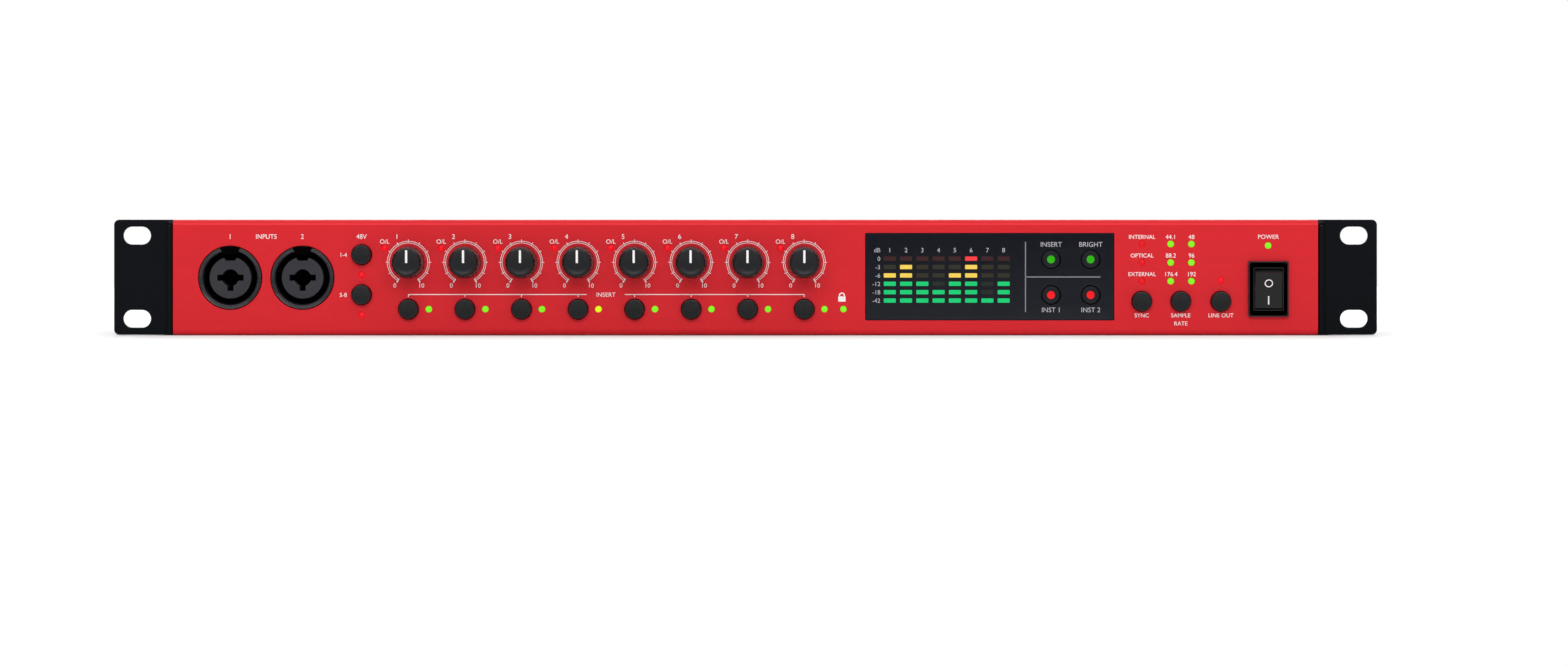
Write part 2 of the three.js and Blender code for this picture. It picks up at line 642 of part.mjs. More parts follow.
// The converter board: a row of chips, a preamplifier block per channel and the main processor.
function mainBoardGeometry() {
  const { x0, x1, y0, y1, z } = MAIN_PCB;
  const top = z + PCB.thickness;
  const parts = [block(x0, x1, y0, y1, z, top)];
  for (const x of [x0 + 6, (x0 + x1) / 2, x1 - 6]) {
    for (const y of [y0 + 6, y1 - 6]) parts.push(standoff(x, y, z));
  }
  for (let i = 0; i < CHANNELS; i++) {
    const x = x0 + 24 + i * 36;
    parts.push(block(x - 6, x + 6, 40, 52, top - 0.5, top + 3));
    parts.push(block(x - 10, x + 10, -20, 12, top - 0.5, top + 14));
  }
  parts.push(block(-40, -10, -80, -50, top - 0.5, top + 3));
  return toGeometry(join(parts));
}

// The supply board with its capacitor, heat sink and transformer.
function powerSupplyGeometry() {
  const { x0, x1, y0, y1, z } = SUPPLY;
  const top = z + PCB.thickness;
  const parts = [
    block(x0, x1, y0, y1, z, top),
    block(x0 + 8, x0 + 44, -40, 4, top - 0.5, top + 24),
    block(x0 + 8, x1 - 8, 50, 54, top - 0.5, top + 26),
    block(x0 + 54, x1 - 8, -80, -20, top - 0.5, top + 20),
  ];
  for (const x of [x0 + 5, x1 - 5]) {
    for (const y of [y0 + 5, y1 - 5]) parts.push(standoff(x, y, z));
  }
  return toGeometry(join(parts));
}

// ---- Placing everything ------------------------------------------------------------------------

function addCase() {
  place(front, "front_panel", frontPanelGeometry(), "red");
  const ear = rackEarGeometry();
  place(assembly, "rack_ear_right", ear, "black");
  place(assembly, "rack_ear_left", mirrored(ear), "black");
  place(assembly, "top_cover", coverGeometry(), "sheet");
  place(assembly, "chassis", chassisGeometry(), "sheet");
  place(front, "meter_window", windowGeometry(), "window");
}

function addFrontControls() {
  const knob = knobGeometry();
  const button = buttonGeometry(BUTTON.radius, -BUTTON.proud, BUTTON.collar);
  const mode = buttonGeometry(MODE_BUTTON.radius, MODE_BUTTON.sunk, MODE_BUTTON.collar);
  for (let i = 0; i < CHANNELS; i++) {
    place(front, `gain_knob_${i + 1}`, knob, "plastic", channelX(i), 0, KNOB_Z);
    place(front, `channel_button_${i + 1}`, button, "plastic", channelX(i), 0, BUTTON_Z);
  }
  place(front, "phantom_button_upper", button, "plastic", PHANTOM_X, 0, PHANTOM_Z[0]);
  place(front, "phantom_button_lower", button, "plastic", PHANTOM_X, 0, PHANTOM_Z[1]);
  for (const [name, x] of Object.entries(CLOCK_BUTTONS)) {
    place(front, name, button, "plastic", x, 0, CLOCK_BUTTON_Z);
  }
  MODE_X.forEach((x, column) => {
    MODE_Z.forEach((z, row) => {
      place(front, `mode_button_${row * MODE_X.length + column + 1}`, mode, "grey", x, 0, z);
    });
  });
  place(front, "front_board", frontBoardGeometry(), "board");
}

function addPowerSwitch() {
  place(front, "power_switch_housing", powerHousingGeometry(), "plastic", POWER.x, 0, POWER.z);
  place(front, "power_rocker", rockerGeometry(), "plastic", POWER.x, ROCKER.pivotY, POWER.z);
}

function addCombos() {
  const frontCombo = comboGeometry(FASCIA.thickness);
  const rearCombo = comboGeometry(SHEET);
  COMBO_FRONT_X.forEach((x, i) => {
    place(front, `combo_jack_${i + 1}`, frontCombo, "plastic", x, 0, COMBO_FRONT_Z);
  });
  COMBO_REAR_X.forEach((x, i) => {
    place(rear, `combo_jack_${i + 3}`, rearCombo, "plastic", x, 0, COMBO_REAR_Z);
  });
}

function addInsertJacks() {
  const jack = jackGeometry([0]);
  JACK_REAR_X.forEach((x, i) => {
    place(rear, `insert_jack_${i + 3}`, jack, "plastic", x, 0, JACK_REAR_Z);
  });
  place(rear, "insert_jack_pair", jackGeometry(JACK_PAIR.z), "plastic", JACK_PAIR.x);
}

function addRearConnectors() {
  place(rear, "mains_inlet", inletGeometry(), "grey", INLET.x, 0, INLET.z);
  const optical = opticalGeometry();
  const shutter = shutterGeometry();
  const sides = ["a", "b"];
  const rows = [["output", "orange"], ["input", "plastic"]];
  const shutterFace = SHEET + CLEAR + SHUTTER.sunk;
  OPTICAL.x.forEach((x, i) => {
    place(rear, `optical_module_${sides[i]}`, optical, "plastic", x);
    rows.forEach(([row, colour], j) => {
      const hinge = OPTICAL.z[j] + SHUTTER.hingeAbove;
      place(rear, `optical_shutter_${sides[i]}_${row}`, shutter, colour, x, shutterFace, hinge);
    });
  });
  place(rear, "bnc_pair", bncGeometry(), "nickel", BNC.x);
  place(rear, "multiway_connector", multiwayGeometry(), "nickel");
}

function addInside() {
  place(assembly, "main_board", mainBoardGeometry(), "board");
  place(assembly, "power_supply", powerSupplyGeometry(), "board");
}

addCase();
addFrontControls();
addPowerSwitch();
addCombos();
addInsertJacks();
addRearConnectors();
addInside();

export default assembly;
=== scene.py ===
"""Looks for the one-unit rack audio interface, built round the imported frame.

Lengths are in millimetres until they reach Blender, which works in metres. Front controls and
rear connectors are drawn in a panel's own coordinates: x to the right as seen facing that panel,
z up, and a depth into the case, so that a negative depth stands out of the panel.
"""

import math

import bmesh
import bpy
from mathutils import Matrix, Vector


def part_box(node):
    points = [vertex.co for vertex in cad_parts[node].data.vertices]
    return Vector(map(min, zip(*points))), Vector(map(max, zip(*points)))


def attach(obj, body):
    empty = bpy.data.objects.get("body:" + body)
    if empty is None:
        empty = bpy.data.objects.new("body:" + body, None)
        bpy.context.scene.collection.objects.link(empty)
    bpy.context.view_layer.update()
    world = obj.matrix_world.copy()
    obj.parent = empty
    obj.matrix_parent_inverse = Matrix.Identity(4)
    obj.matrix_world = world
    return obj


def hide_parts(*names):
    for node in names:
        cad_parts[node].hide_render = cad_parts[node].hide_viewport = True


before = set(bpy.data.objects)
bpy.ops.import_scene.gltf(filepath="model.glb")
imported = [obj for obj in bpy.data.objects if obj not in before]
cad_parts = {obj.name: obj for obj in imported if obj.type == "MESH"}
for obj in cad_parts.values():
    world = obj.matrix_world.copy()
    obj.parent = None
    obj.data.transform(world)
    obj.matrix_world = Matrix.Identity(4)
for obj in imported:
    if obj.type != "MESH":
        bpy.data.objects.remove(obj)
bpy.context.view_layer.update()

MM = 0.001
CASE = "case"
CIRCLE = 64
LIP_STEPS = 3
COINCIDENT = 1e-6


# Reading the frame


def extent(node):
    """Lowest and highest corner of a CAD node, in millimetres."""
    low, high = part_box(node)
    return low / MM, high / MM


def middle(node):
    low, high = extent(node)
    return (low + high) / 2


class Side:
    """A panel face: turns (x, z, depth) seen facing it into the row's frame."""

    def __init__(self, y, way):
        self.y = y
        self.way = way

    def point(self, x, z, depth):
        return Vector((self.way * x, self.y + self.way * depth, z)) * MM

    def across(self, node):
        """A node's middle as (x, z) seen facing this panel."""
        spot = middle(node)
        return self.way * spot.x, spot.z


class Slope:
    """A flat face that leans out of a panel as it rises; its (0, 0) is at (x, z, depth) there."""

    def __init__(self, side, x, z, depth, lean):
        self.side = side
        self.x = x
        self.z = z
        self.depth = depth
        self.lean = math.radians(lean)

    def point(self, x, z, depth):
        up, out = math.cos(self.lean), math.sin(self.lean)
        rise = z * up + depth * out
        return self.side.point(self.x + x, self.z + rise, self.depth - z * out + depth * up)


class Flank:
    """A plane square to x: turns (y, z, depth) into the row's frame, inward from way times x."""

    def __init__(self, x, way=1):
        self.x = x
        self.way = way

    def point(self, y, z, depth):
        return Vector((self.way * (self.x - depth), y, z)) * MM


FRONT = Side(extent("front_panel")[0].y, 1)
REAR = Side(extent("chassis")[1].y, -1)
HEIGHT = extent("front_panel")[1].z


# Meshes


def finish_mesh(name, bm, material, body=CASE, sharp=32.0):
    """A shown piece from bm: smooth faces, with edges sharper than the given angle kept crisp."""
    bmesh.ops.remove_doubles(bm, verts=bm.verts, dist=1e-7)
    bmesh.ops.recalc_face_normals(bm, faces=bm.faces)
    limit = math.radians(sharp)
    for edge in bm.edges:
        edge.smooth = len(edge.link_faces) == 2 and edge.calc_face_angle(0.0) < limit
    for face in bm.faces:
        face.smooth = True
    mesh = bpy.data.meshes.new(name)
    bm.to_mesh(mesh)
    bm.free()
    piece = bpy.data.objects.new(name, mesh)
    bpy.context.scene.collection.objects.link(piece)
    mesh.materials.append(material)
    shading = piece.modifiers.new("flat_faces_stay_flat", "WEIGHTED_NORMAL")
    shading.keep_sharp = True
    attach(piece, body)
    return piece


def bridge(bm, rings):
    """Joins each ring of vertices to the next one; a ring of one vertex closes to a point."""
    for first, second in zip(rings, rings[1:]):
        count = max(len(first), len(second))
        for i in range(count):
            j = (i + 1) % count
            if len(first) == 1:
                bm.faces.new((first[0], second[i], second[j]))
            elif len(second) == 1:
                bm.faces.new((first[i], second[0], first[j]))
            else:
                bm.faces.new((first[i], second[i], second[j], first[j]))


def loft(bm, side, rings):
    """Adds a skin over rings given as (points, depth), and returns their vertices."""
    made = [[bm.verts.new(side.point(x, z, depth)) for x, z in points] for points, depth in rings]
    bridge(bm, made)
    return made


def polar(x, z, count, reach):
    """A closed outline about (x, z), as far out in each direction as reach(turn) says."""
    turns = [2 * math.pi * i / count for i in range(count)]
    return [(x + reach(a) * math.cos(a), z + reach(a) * math.sin(a)) for a in turns]


def circle(x, z, radius, count):
    return polar(x, z, count, lambda turn: radius)


def arc(x, z, radius, start, sweep, steps):
    """Points on an arc, in degrees anticlockwise from +x."""
    turns = [math.radians(start + sweep * i / steps) for i in range(steps + 1)]
    return [(x + radius * math.cos(a), z + radius * math.sin(a)) for a in turns]


def curve(start, corner, end, steps):
    """Points on the curve that leaves start towards corner and reaches end from it."""
    shares = [i / steps for i in range(steps + 1)]
    return [tuple(start * (1 - t) ** 2 + corner * 2 * t * (1 - t) + end * t ** 2) for t in shares]


def around(x, z, half_x, half_z):
    """The four sides of a rectangle centred on (x, z)."""
    return x - half_x, x + half_x, z - half_z, z + half_z


def rounded(x0, x1, z0, z1, radius):
    """A rectangle with round corners, anticlockwise."""
    left, right, low, high = x0 + radius, x1 - radius, z0 + radius, z1 - radius
    points = []
    for k, (x, z) in enumerate(((right, low), (right, high), (left, high), (left, low))):
        points += arc(x, z, radius, 90 * (k - 1), 90, 6)
    return points


def soften(profile, radius):
    """The profile with each inner corner replaced by a short curve."""
    points = [profile[0]]
    for before, corner, after in zip(profile, profile[1:], profile[2:]):
        c = Vector(corner)
        back, on = Vector(before) - c, Vector(after) - c
        if back.length < COINCIDENT or on.length < COINCIDENT:
            continue
        reach = min(radius, back.length * 0.45, on.length * 0.45)
        points += curve(c + back.normalized() * reach, c, c + on.normalized() * reach, 3)
    points.append(profile[-1])
    return points


def add_turned(bm, side, x, z, profile, count=CIRCLE):
    """Adds a turned shape about the panel's normal; the profile is (radius, depth) pairs."""
    rings = []
    for radius, depth in profile:
        ring = circle(x, z, radius, count) if radius > COINCIDENT else [(x, z)]
        rings.append((ring, depth))
    loft(bm, side, rings)


def turned(name, side, x, z, profile, material, body=CASE, count=CIRCLE, soft=0.2):
    bm = bmesh.new()
    add_turned(bm, side, x, z, soften(profile, soft) if soft else profile, count)
    return finish_mesh(name, bm, material, body)


def fill(bm, rings):
    """Fills the flat region between an outline ring and the hole rings inside it."""
    edges = []
    for ring in rings:
        for pair in zip(ring, ring[1:] + ring[:1]):
            edges.append(bm.edges.get(pair) or bm.edges.new(pair))
    bmesh.ops.triangle_fill(bm, use_beauty=True, use_dissolve=False, edges=edges)


def wall(outline, depths, lip, inward=1.0):
    """Rings of a wall whose front lip is rounded: [(points, depth)]. outline(grow) gives them."""
    front, back = depths
    rings = []
    for i in range(LIP_STEPS + 1):
        turn = math.pi / 2 * i / LIP_STEPS
        inset = lip * (1 - math.sin(turn))
        rings.append((outline(-inward * inset), front + lip * (1 - math.cos(turn))))
    rings.append((outline(0.0), back))
    return rings


def add_panel(bm, side, outer, holes=()):
    """Adds a closed plate: outer and each hole are lists of (points, depth), front to back."""
    made = [loft(bm, side, rings) for rings in (outer, *holes)]
    fill(bm, [rings[0] for rings in made])
    fill(bm, [rings[-1] for rings in made])


def panel(name, side, outer, holes, material, body=CASE):
    bm = bmesh.new()
    add_panel(bm, side, outer, holes)
    return finish_mesh(name, bm, material, body)


def round_hole(x, z, radius, depths, lip=0.15, count=48):
    return wall(lambda grow: circle(x, z, radius + grow, count), depths, lip, inward=-1.0)


def square_hole(x0, x1, z0, z1, radius, depths, lip=0.15):
    def outline(grow):
        return rounded(x0 - grow, x1 + grow, z0 - grow, z1 + grow, radius + max(grow, 0.0))

    return wall(outline, depths, lip, inward=-1.0)


def box_wall(x0, x1, z0, z1, radius, depths, lip=0.2):
    def outline(grow):
        return rounded(x0 - grow, x1 + grow, z0 - grow, z1 + grow, radius)

    return wall(outline, depths, lip)


# Materials


def shade(hex_colour):
    """Linear colour from an sRGB hex number."""
    values = [(hex_colour >> shift & 255) / 255 for shift in (16, 8, 0)]
    linear = [v / 12.92 if v <= 0.04045 else ((v + 0.055) / 1.055) ** 2.4 for v in values]
    return (*linear, 1.0)


class Nodes:
    """A material's node tree with short names for what is wanted here."""

    def __init__(self, name, colour=0xFFFFFF):
        self.colour = shade(colour)
        self.material = bpy.data.materials.new(name)
        self.material.use_nodes = True
        self.tree = self.material.node_tree
        self.shader = self.tree.nodes["Principled BSDF"]
        self.place = self.tree.nodes.new("ShaderNodeTexCoord").outputs["Object"]

    def link(self, output, socket):
        self.tree.links.new(output, socket)

    def set(self, **values):
        for name, value in values.items():
            self.shader.inputs[name.replace("_", " ")].default_value = value

    def stretched(self, scale):
        mapping = self.tree.nodes.new("ShaderNodeMapping")
        mapping.inputs["Scale"].default_value = scale
        self.link(self.place, mapping.inputs["Vector"])
        return mapping.outputs["Vector"]

    def noise(self, scale, detail, vector=None):
        node = self.tree.nodes.new("ShaderNodeTexNoise")
        node.inputs["Scale"].default_value = scale
        node.inputs["Detail"].default_value = detail
        self.link(vector or self.place, node.inputs["Vector"])
        return node.outputs["Fac"]

    def tint(self, source, low, high, name="Base Color"):
        """Runs a colour input from low to high times the material's colour."""
        node = self.tree.nodes.new("ShaderNodeValToRGB")
        for element, position, share in zip(node.color_ramp.elements, (0.3, 0.7), (low, high)):
            element.position = position
            element.color = (*[min(1.0, c * share) for c in self.colour[:3]], 1.0)
        self.link(source, node.inputs["Fac"])
        self.link(node.outputs["Color"], self.shader.inputs[name])

    def gloss(self, source, low, high):
        """Runs the roughness from low to high."""
        node = self.tree.nodes.new("ShaderNodeMapRange")
        node.inputs["To Min"].default_value = low
        node.inputs["To Max"].default_value = high
        self.link(source, node.inputs["Value"])
        self.link(node.outputs["Result"], self.shader.inputs["Roughness"])

    def bump(self, source, depth, strength):
        """Fine relief, with its depth in millimetres."""
        node = self.tree.nodes.new("ShaderNodeBump")
        node.inputs["Strength"].default_value = strength
        node.inputs["Distance"].default_value = depth * MM
        self.link(source, node.inputs["Height"])
        self.link(node.outputs["Normal"], self.shader.inputs["Normal"])


def grained(name, colour, roughness, grain, depth, specular=0.16, metallic=0.0, vary=0.12):
    """A moulded or coated surface: fine grain, with soft change in colour and gloss."""
    n = Nodes(name, colour)
    n.set(Metallic=metallic, Specular_IOR_Level=specular)
    n.tint(n.noise(18.0, 2.0), 1 - vary, 1 + vary)
    fine = n.noise(grain, 2.0)
    n.gloss(fine, roughness - 0.05, roughness + 0.07)
    n.bump(fine, depth, 0.5)
    return n.material


def lamp(name, colour, strength=1.0):
    """A lit lens: bright in the middle of its grain, never quite even."""
    n = Nodes(name, colour)
    n.set(Roughness=0.25, Specular_IOR_Level=0.18, Emission_Strength=strength)
    grain = n.noise(900.0, 1.0)
    n.tint(grain, 0.12, 0.18)
    n.tint(grain, 0.95, 1.0, "Emission Color")
    return n.material


def anodised():
    """Bead-blasted, red anodised aluminium: fine sparkle and a faint lengthways draw."""
    n = Nodes("red_anodised", 0xD4202A)
    n.set(Metallic=0.3, Specular_IOR_Level=0.2, Coat_Weight=0.1, Coat_Roughness=0.22)
    n.tint(n.noise(40.0, 2.0, n.stretched((0.4, 6.0, 9.0))), 0.98, 1.02)
    blast = n.noise(5200.0, 2.0)
    n.gloss(blast, 0.38, 0.5)
    n.bump(blast, 0.02, 0.35)
    return n.material


def brushed(name, colour, roughness):
    """Plated or turned metal with fine streaks."""
    n = Nodes(name, colour)
    n.set(Metallic=1.0)
    streak = n.noise(160.0, 3.0, n.stretched((1.0, 1.0, 30.0)))
    n.tint(streak, 0.85, 1.08)
    n.gloss(streak, roughness - 0.06, roughness + 0.1)
    n.bump(streak, 0.01, 0.3)
    return n.material


def floor_material():
    n = Nodes("studio_floor")
    n.set(Roughness=0.75)
    n.tint(n.noise(3.0, 2.0), 0.9, 0.93)
    return n.material


RED = anodised()
EAR_BLACK = grained("ear_powder_black", 0x070A0F, 0.48, 2600.0, 0.03, 0.07)
SHEET_GREY = grained("case_powder_grey", 0x2C2E37, 0.48, 2400.0, 0.04, metallic=0.1)
WINDOW = grained("smoked_window", 0x10121B, 0.12, 700.0, 0.002, 0.22, vary=0.05)
KNOB_BLACK = grained("knob_moulding", 0x16171A, 0.3, 3200.0, 0.01, 0.24)
CAP_BLACK = grained("button_moulding", 0x17181A, 0.26, 3000.0, 0.01, 0.26)
SWITCH_BLACK = grained("switch_moulding", 0x131416, 0.34, 2800.0, 0.03, 0.3)
SOCKET_BLACK = grained("socket_moulding", 0x191A1F, 0.22, 2400.0, 0.01, 0.55)
NUT_GREY = grained("jack_nut_moulding", 0x1B1D26, 0.18, 2400.0, 0.01, 0.55)
BUSH_GREY = grained("jack_bush_moulding", 0x40424A, 0.22, 2400.0, 0.01, 0.6)
CORE_GREY = grained("socket_core", 0x34353A, 0.4, 2400.0, 0.03)
INLET_GREY = grained("inlet_moulding", 0x26282E, 0.28, 2400.0, 0.02, 0.45)
# Painted shade: a near-black for dark pieces set into holes, recesses and gaps, standing for the
# shade in them.
SHADE_BLACK = grained("painted_shade_black", 0x050506, 0.8, 500.0, 0.01, 0.0)
ORANGE = grained("orange_moulding", 0xFC964B, 0.4, 2400.0, 0.02)
INSULATOR = grained("insulator_grey", 0x3E4045, 0.5, 2400.0, 0.02)
DIELECTRIC = grained("white_dielectric", 0xE8E4DA, 0.5, 2000.0, 0.02)
MODE_CAP = grained("mode_moulding", 0x17181D, 0.35, 2600.0, 0.02)
BOARD = grained("solder_mask", 0x14472A, 0.45, 1500.0, 0.02)
BARE_EDGE = grained("bare_steel_edge", 0xB9BCC2, 0.45, 2400.0, 0.01, metallic=0.4)
PRINT = grained("white_print", 0xF3EFEF, 0.55, 1200.0, 0.005, vary=0.03)
GREY_PRINT = grained("grey_print", 0xB4B4BA, 0.55, 1200.0, 0.005, vary=0.03)
RULE_PRINT = grained("rule_print", 0x85868E, 0.55, 1200.0, 0.005, vary=0.03)
PAPER = grained("label_paper", 0xC3CFDA, 0.6, 1200.0, 0.005, vary=0.03)
NICKEL = brushed("nickel_plate", 0xD8D3CB, 0.28)
GOLD = brushed("gold_contact", 0xD9A441, 0.3)
ZINC_BLACK = brushed("black_screw", 0x70727A, 0.2)
LIT_GREEN = lamp("lamp_green", 0x84EA24)
LIT_LIME = lamp("lamp_lime", 0xD7F01E)
LIT_RED = lamp("lamp_red", 0xF21223, 0.88)
DIM_RED = lamp("lamp_red_dim", 0xE8141E, 0.85)
MODE_GREEN = lamp("mode_green", 0x2BAA0C)
MODE_RED = lamp("mode_red", 0xF0141E)
BARS = {}
for name, lit, unlit in (
    ("red", 0xF03C41, 0x3A1B1E), ("yellow", 0xEBC855, 0x2E2C1F), ("green", 0x14C36E, 0x1E2823),
):
    BARS[name, True] = lamp(f"bar_{name}", lit)
    BARS[name, False] = grained(f"bar_unlit_{name}", unlit, 0.4, 900.0, 0.004)


# Case

FASCIA_EDGE = 2.2
SHEET = 1.5
SHEET_BEND = 1.8
HOLE_GAP = 0.2
KNOB_HOLE = 3.7
LENS = 1.22
LENS_HOLE = 1.3
COMBO_RADIUS = 12.0
EAR_THICK = 3.0
RIB_PROUD = 1.0
RACK_SLOT = (232.55, 10.7, 6.8)
RACK_SLOT_Z = 6.1
LEG_FACE = 225.0
LEG_Z = (3.0, 41.0)

CHANNELS = range(1, 9)
KNOBS = {i: FRONT.across(f"gain_knob_{i}") for i in CHANNELS}
BUTTONS = {i: FRONT.across(f"channel_button_{i}") for i in CHANNELS}
PHANTOM = {name: FRONT.across(f"phantom_button_{name}") for name in ("upper", "lower")}
CLOCK = {name: FRONT.across(f"{name}_button") for name in ("sync", "sample_rate", "line")}
MODES = {i: FRONT.across(f"mode_button_{i}") for i in range(1, 5)}
POWER = FRONT.across("power_switch_housing")
CLIP_AT = (-9.1, 5.4)
CHANNEL_LAMP_DX = 7.75
LOCK_X = 37.4
CLOCK_LAMP_X = (151.4, 162.4, 170.3)
CLOCK_LAMP_Z = (34.7, 27.6, 20.5)
LINE_LAMP_Z = 20.8
POWER_LAMP_Z = 34.1
PHANTOM_LAMP_DROP = 7.7
CAP = 3.75


def front_lamps():
    """Every indicator on the fascia: (x, z, material)."""
    lamps = []
    for i in CHANNELS:
        kx, kz = KNOBS[i]
        lamps.append((kx + CLIP_AT[0], kz + CLIP_AT[1], LIT_RED))
        bx, bz = BUTTONS[i]
        lamps.append((bx + CHANNEL_LAMP_DX, bz, LIT_LIME if i == 4 else LIT_GREEN))
    lamps.append((LOCK_X, BUTTONS[1][1], LIT_GREEN))
    lamps += [(x, z - PHANTOM_LAMP_DROP, LIT_RED) for x, z in PHANTOM.values()]
    for z in CLOCK_LAMP_Z:
        lamps.append((CLOCK_LAMP_X[0], z, DIM_RED))
        lamps += [(x, z, LIT_GREEN) for x in CLOCK_LAMP_X[1:]]
    lamps.append((CLOCK["line"][0], LINE_LAMP_Z, LIT_RED))
    lamps.append((POWER[0], POWER_LAMP_Z, LIT_GREEN))
    return lamps


def fascia_outline(half, thickness):
    """The fascia's edge rings: top and bottom front edges are round, the ends square."""
    steps = 8
    rings = []
    for i in range(steps + 1):
        turn = math.pi / 2 * i / steps
        inset = FASCIA_EDGE * (1 - math.sin(turn))
        points = [(-half, inset), (half, inset), (half, HEIGHT - inset), (-half, HEIGHT - inset)]
        rings.append((points, FASCIA_EDGE * (1 - math.cos(turn))))
    rings.append((points, thickness))
    return rings


def make_fascia():
    low, high = extent("front_panel")
    depths = (0.0, high.y - low.y)
    combos = [FRONT.across(f"combo_jack_{i}") for i in (1, 2)]
    caps = [*BUTTONS.values(), *PHANTOM.values(), *CLOCK.values()]
    holes = [round_hole(x, z, COMBO_RADIUS + HOLE_GAP, depths, 0.2, 96) for x, z in combos]
    holes += [round_hole(x, z, CAP + HOLE_GAP, depths) for x, z in caps]
    holes += [round_hole(x, z, KNOB_HOLE, depths) for x, z in KNOBS.values()]
    holes += [round_hole(x, z, LENS_HOLE, depths, 0.1, 24) for x, z, _ in front_lamps()]
    glass_low, glass_high = extent("meter_window")
    x0, x1, z0, z1 = glass_low.x, glass_high.x, glass_low.z, glass_high.z
    gap = 0.15
    holes.append(square_hole(x0 - gap, x1 + gap, z0 - gap, z1 + gap, 0.5, depths, 0.12))
    holes.append(square_hole(*around(*POWER, 6.7, 9.1), 0.4, depths, 0.1))
    fascia = panel("front_fascia", FRONT, fascia_outline(high.x, depths[1]), holes, RED)
    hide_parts("front_panel")


def slot_points(x, z, length, width, grow):
    """A straight slot with round ends."""
    radius = width / 2
    reach = length / 2 - radius
    right = arc(x + reach, z, radius + grow, -90, 180, 16)
    return right + arc(x - reach, z, radius + grow, 90, 180, 16)


def ear_outline(inner, outer, radius, depths, lip):
    """A plate square at its inner edge and round at its two outer corners; x runs outward."""

    def outline(grow):
        low = arc(outer - radius, radius, radius + grow, 270, 90, 8)
        high = arc(outer - radius, HEIGHT - radius, radius + grow, 0, 90, 8)
        return [*low, *high, (inner, HEIGHT + grow), (inner, -grow)]

    return wall(outline, depths, lip)


def make_ear(node, way):
    """A rack ear: slotted plate, raised inner rib, and a leg along the case on its foot."""
    low, high = extent(node)
    inner, outer = sorted((abs(low.x), abs(high.x)))
    side = Side(low.y + RIB_PROUD, 1)
    depths = (0.0, EAR_THICK)
    bm = bmesh.new()

    def flip(rings):
        return [([(way * x, z) for x, z in points], depth) for points, depth in rings]

    def slot(z):
        x, length, width = RACK_SLOT

        def outline(grow):
            return slot_points(x, z, length, width, grow)

        return flip(wall(outline, depths, 0.25, inward=-1.0))

    plate = ear_outline(inner + 2.2, outer, 2.0, depths, 0.35)
    add_panel(bm, side, flip(plate), [slot(RACK_SLOT_Z), slot(HEIGHT - RACK_SLOT_Z)])
    rib = box_wall(inner, inner + 2.3, 0.0, HEIGHT - 2.0, 0.5, (-RIB_PROUD, EAR_THICK), 0.5)
    leg_depths = (EAR_THICK - 0.5, high.y - side.y)
    leg = box_wall(LEG_FACE - 1.1, LEG_FACE, *LEG_Z, 0.4, leg_depths, 0.2)
    foot = box_wall(inner + 0.4, LEG_FACE, *LEG_Z, 0.4, (EAR_THICK - 0.8, EAR_THICK), 0.2)
    for block in (rib, leg, foot):
        add_panel(bm, side, flip(block))
    ear = finish_mesh(f"{node}_plate", bm, EAR_BLACK)
    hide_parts(node)


def screw(heads, recess_shades, origin, out, radius, dome):
    """Adds a round screw head standing out of origin along out, and a cross of painted shade sunk
    in its recess.
    """
    side_a = Vector((0, 0, 1)) if abs(out.z) < 0.9 else Vector((1, 0, 0))
    side_b = out.cross(side_a)
    rim, cross = [], []
    for turn in [math.pi / 16 * i for i in range(32)]:
        spot = (side_a * math.cos(turn) + side_b * math.sin(turn)) * radius
        rim.append(spot)
        cross.append(spot * (0.58 if abs(math.cos(2 * turn)) > 0.82 else 0.19))

    def stack(bm, *stages):
        rings = [
            [bm.verts.new((origin + point * share + out * dome * lift) * MM) for point in points]
            for points, share, lift in stages
        ]
        bridge(bm, rings)

    dome_profile = ((1.0, 0.0), (1.0, 0.35), (0.93, 0.62), (0.8, 0.82), (0.66, 0.92))
    dome_stages = [(rim, share, lift) for share, lift in dome_profile]
    tip = cross[:1]
    stack(heads, *dome_stages, (cross, 1.0, 0.96), (cross, 0.6, -0.7), (tip, 0.0, -0.8))
    # The cross in the recess is a second piece in painted shade black, standing for the shade
    # down in the recess.
    stack(recess_shades, (tip, 0.0, 0.6), (cross, 0.86, 0.6), (cross, 0.6, -0.5), (tip, 0.0, -0.5))


def screws(name, spots):
    """Black cross-head screws; spots is a list of (origin, out, radius, dome)."""
    heads, recess_shades = bmesh.new(), bmesh.new()
    for spot in spots:
        screw(heads, recess_shades, *spot)
    finish_mesh(name, heads, ZINC_BLACK)
    finish_mesh(f"{name}_recesses", recess_shades, SHADE_BLACK)


def make_cover():
    """One sheet folded down over both sides, with a strip of painted shade in the gap where it
    meets the rear panel.
    """
    low, high = extent("top_cover")
    w, top, bottom, bend = high.x, high.z, low.z, SHEET_BEND
    inner = bend - SHEET + 0.2
    roof = top - SHEET - inner
    section = arc(w - bend, top - bend, bend, 0, 90, 8)
    section += arc(bend - w, top - bend, bend, 90, 90, 8)
    section += [(-w, bottom), (SHEET - w, bottom)]
    section += arc(SHEET - w + inner, roof, inner, 180, -90, 4)
    section += arc(w - SHEET - inner, roof, inner, 90, -90, 4)
    section += [(w - SHEET, bottom), (w, bottom)]
    outer = [(section, 0.0), (section, high.y - low.y)]
    cover = panel("cover_sheet", Side(low.y, 1), outer, (), SHEET_GREY)
    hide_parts("top_cover")
    # A strip in painted shade black, set in the gap between cover and rear panel to stand for the
    # shade there.
    strip = box_wall(2.0 - w, w - 2.0, 40.6, top - SHEET - 0.05, 0.3, (5.0, 8.0), 0.2)
    gap_shade_strip = panel("cover_gap_shade", REAR, strip, (), SHADE_BLACK)


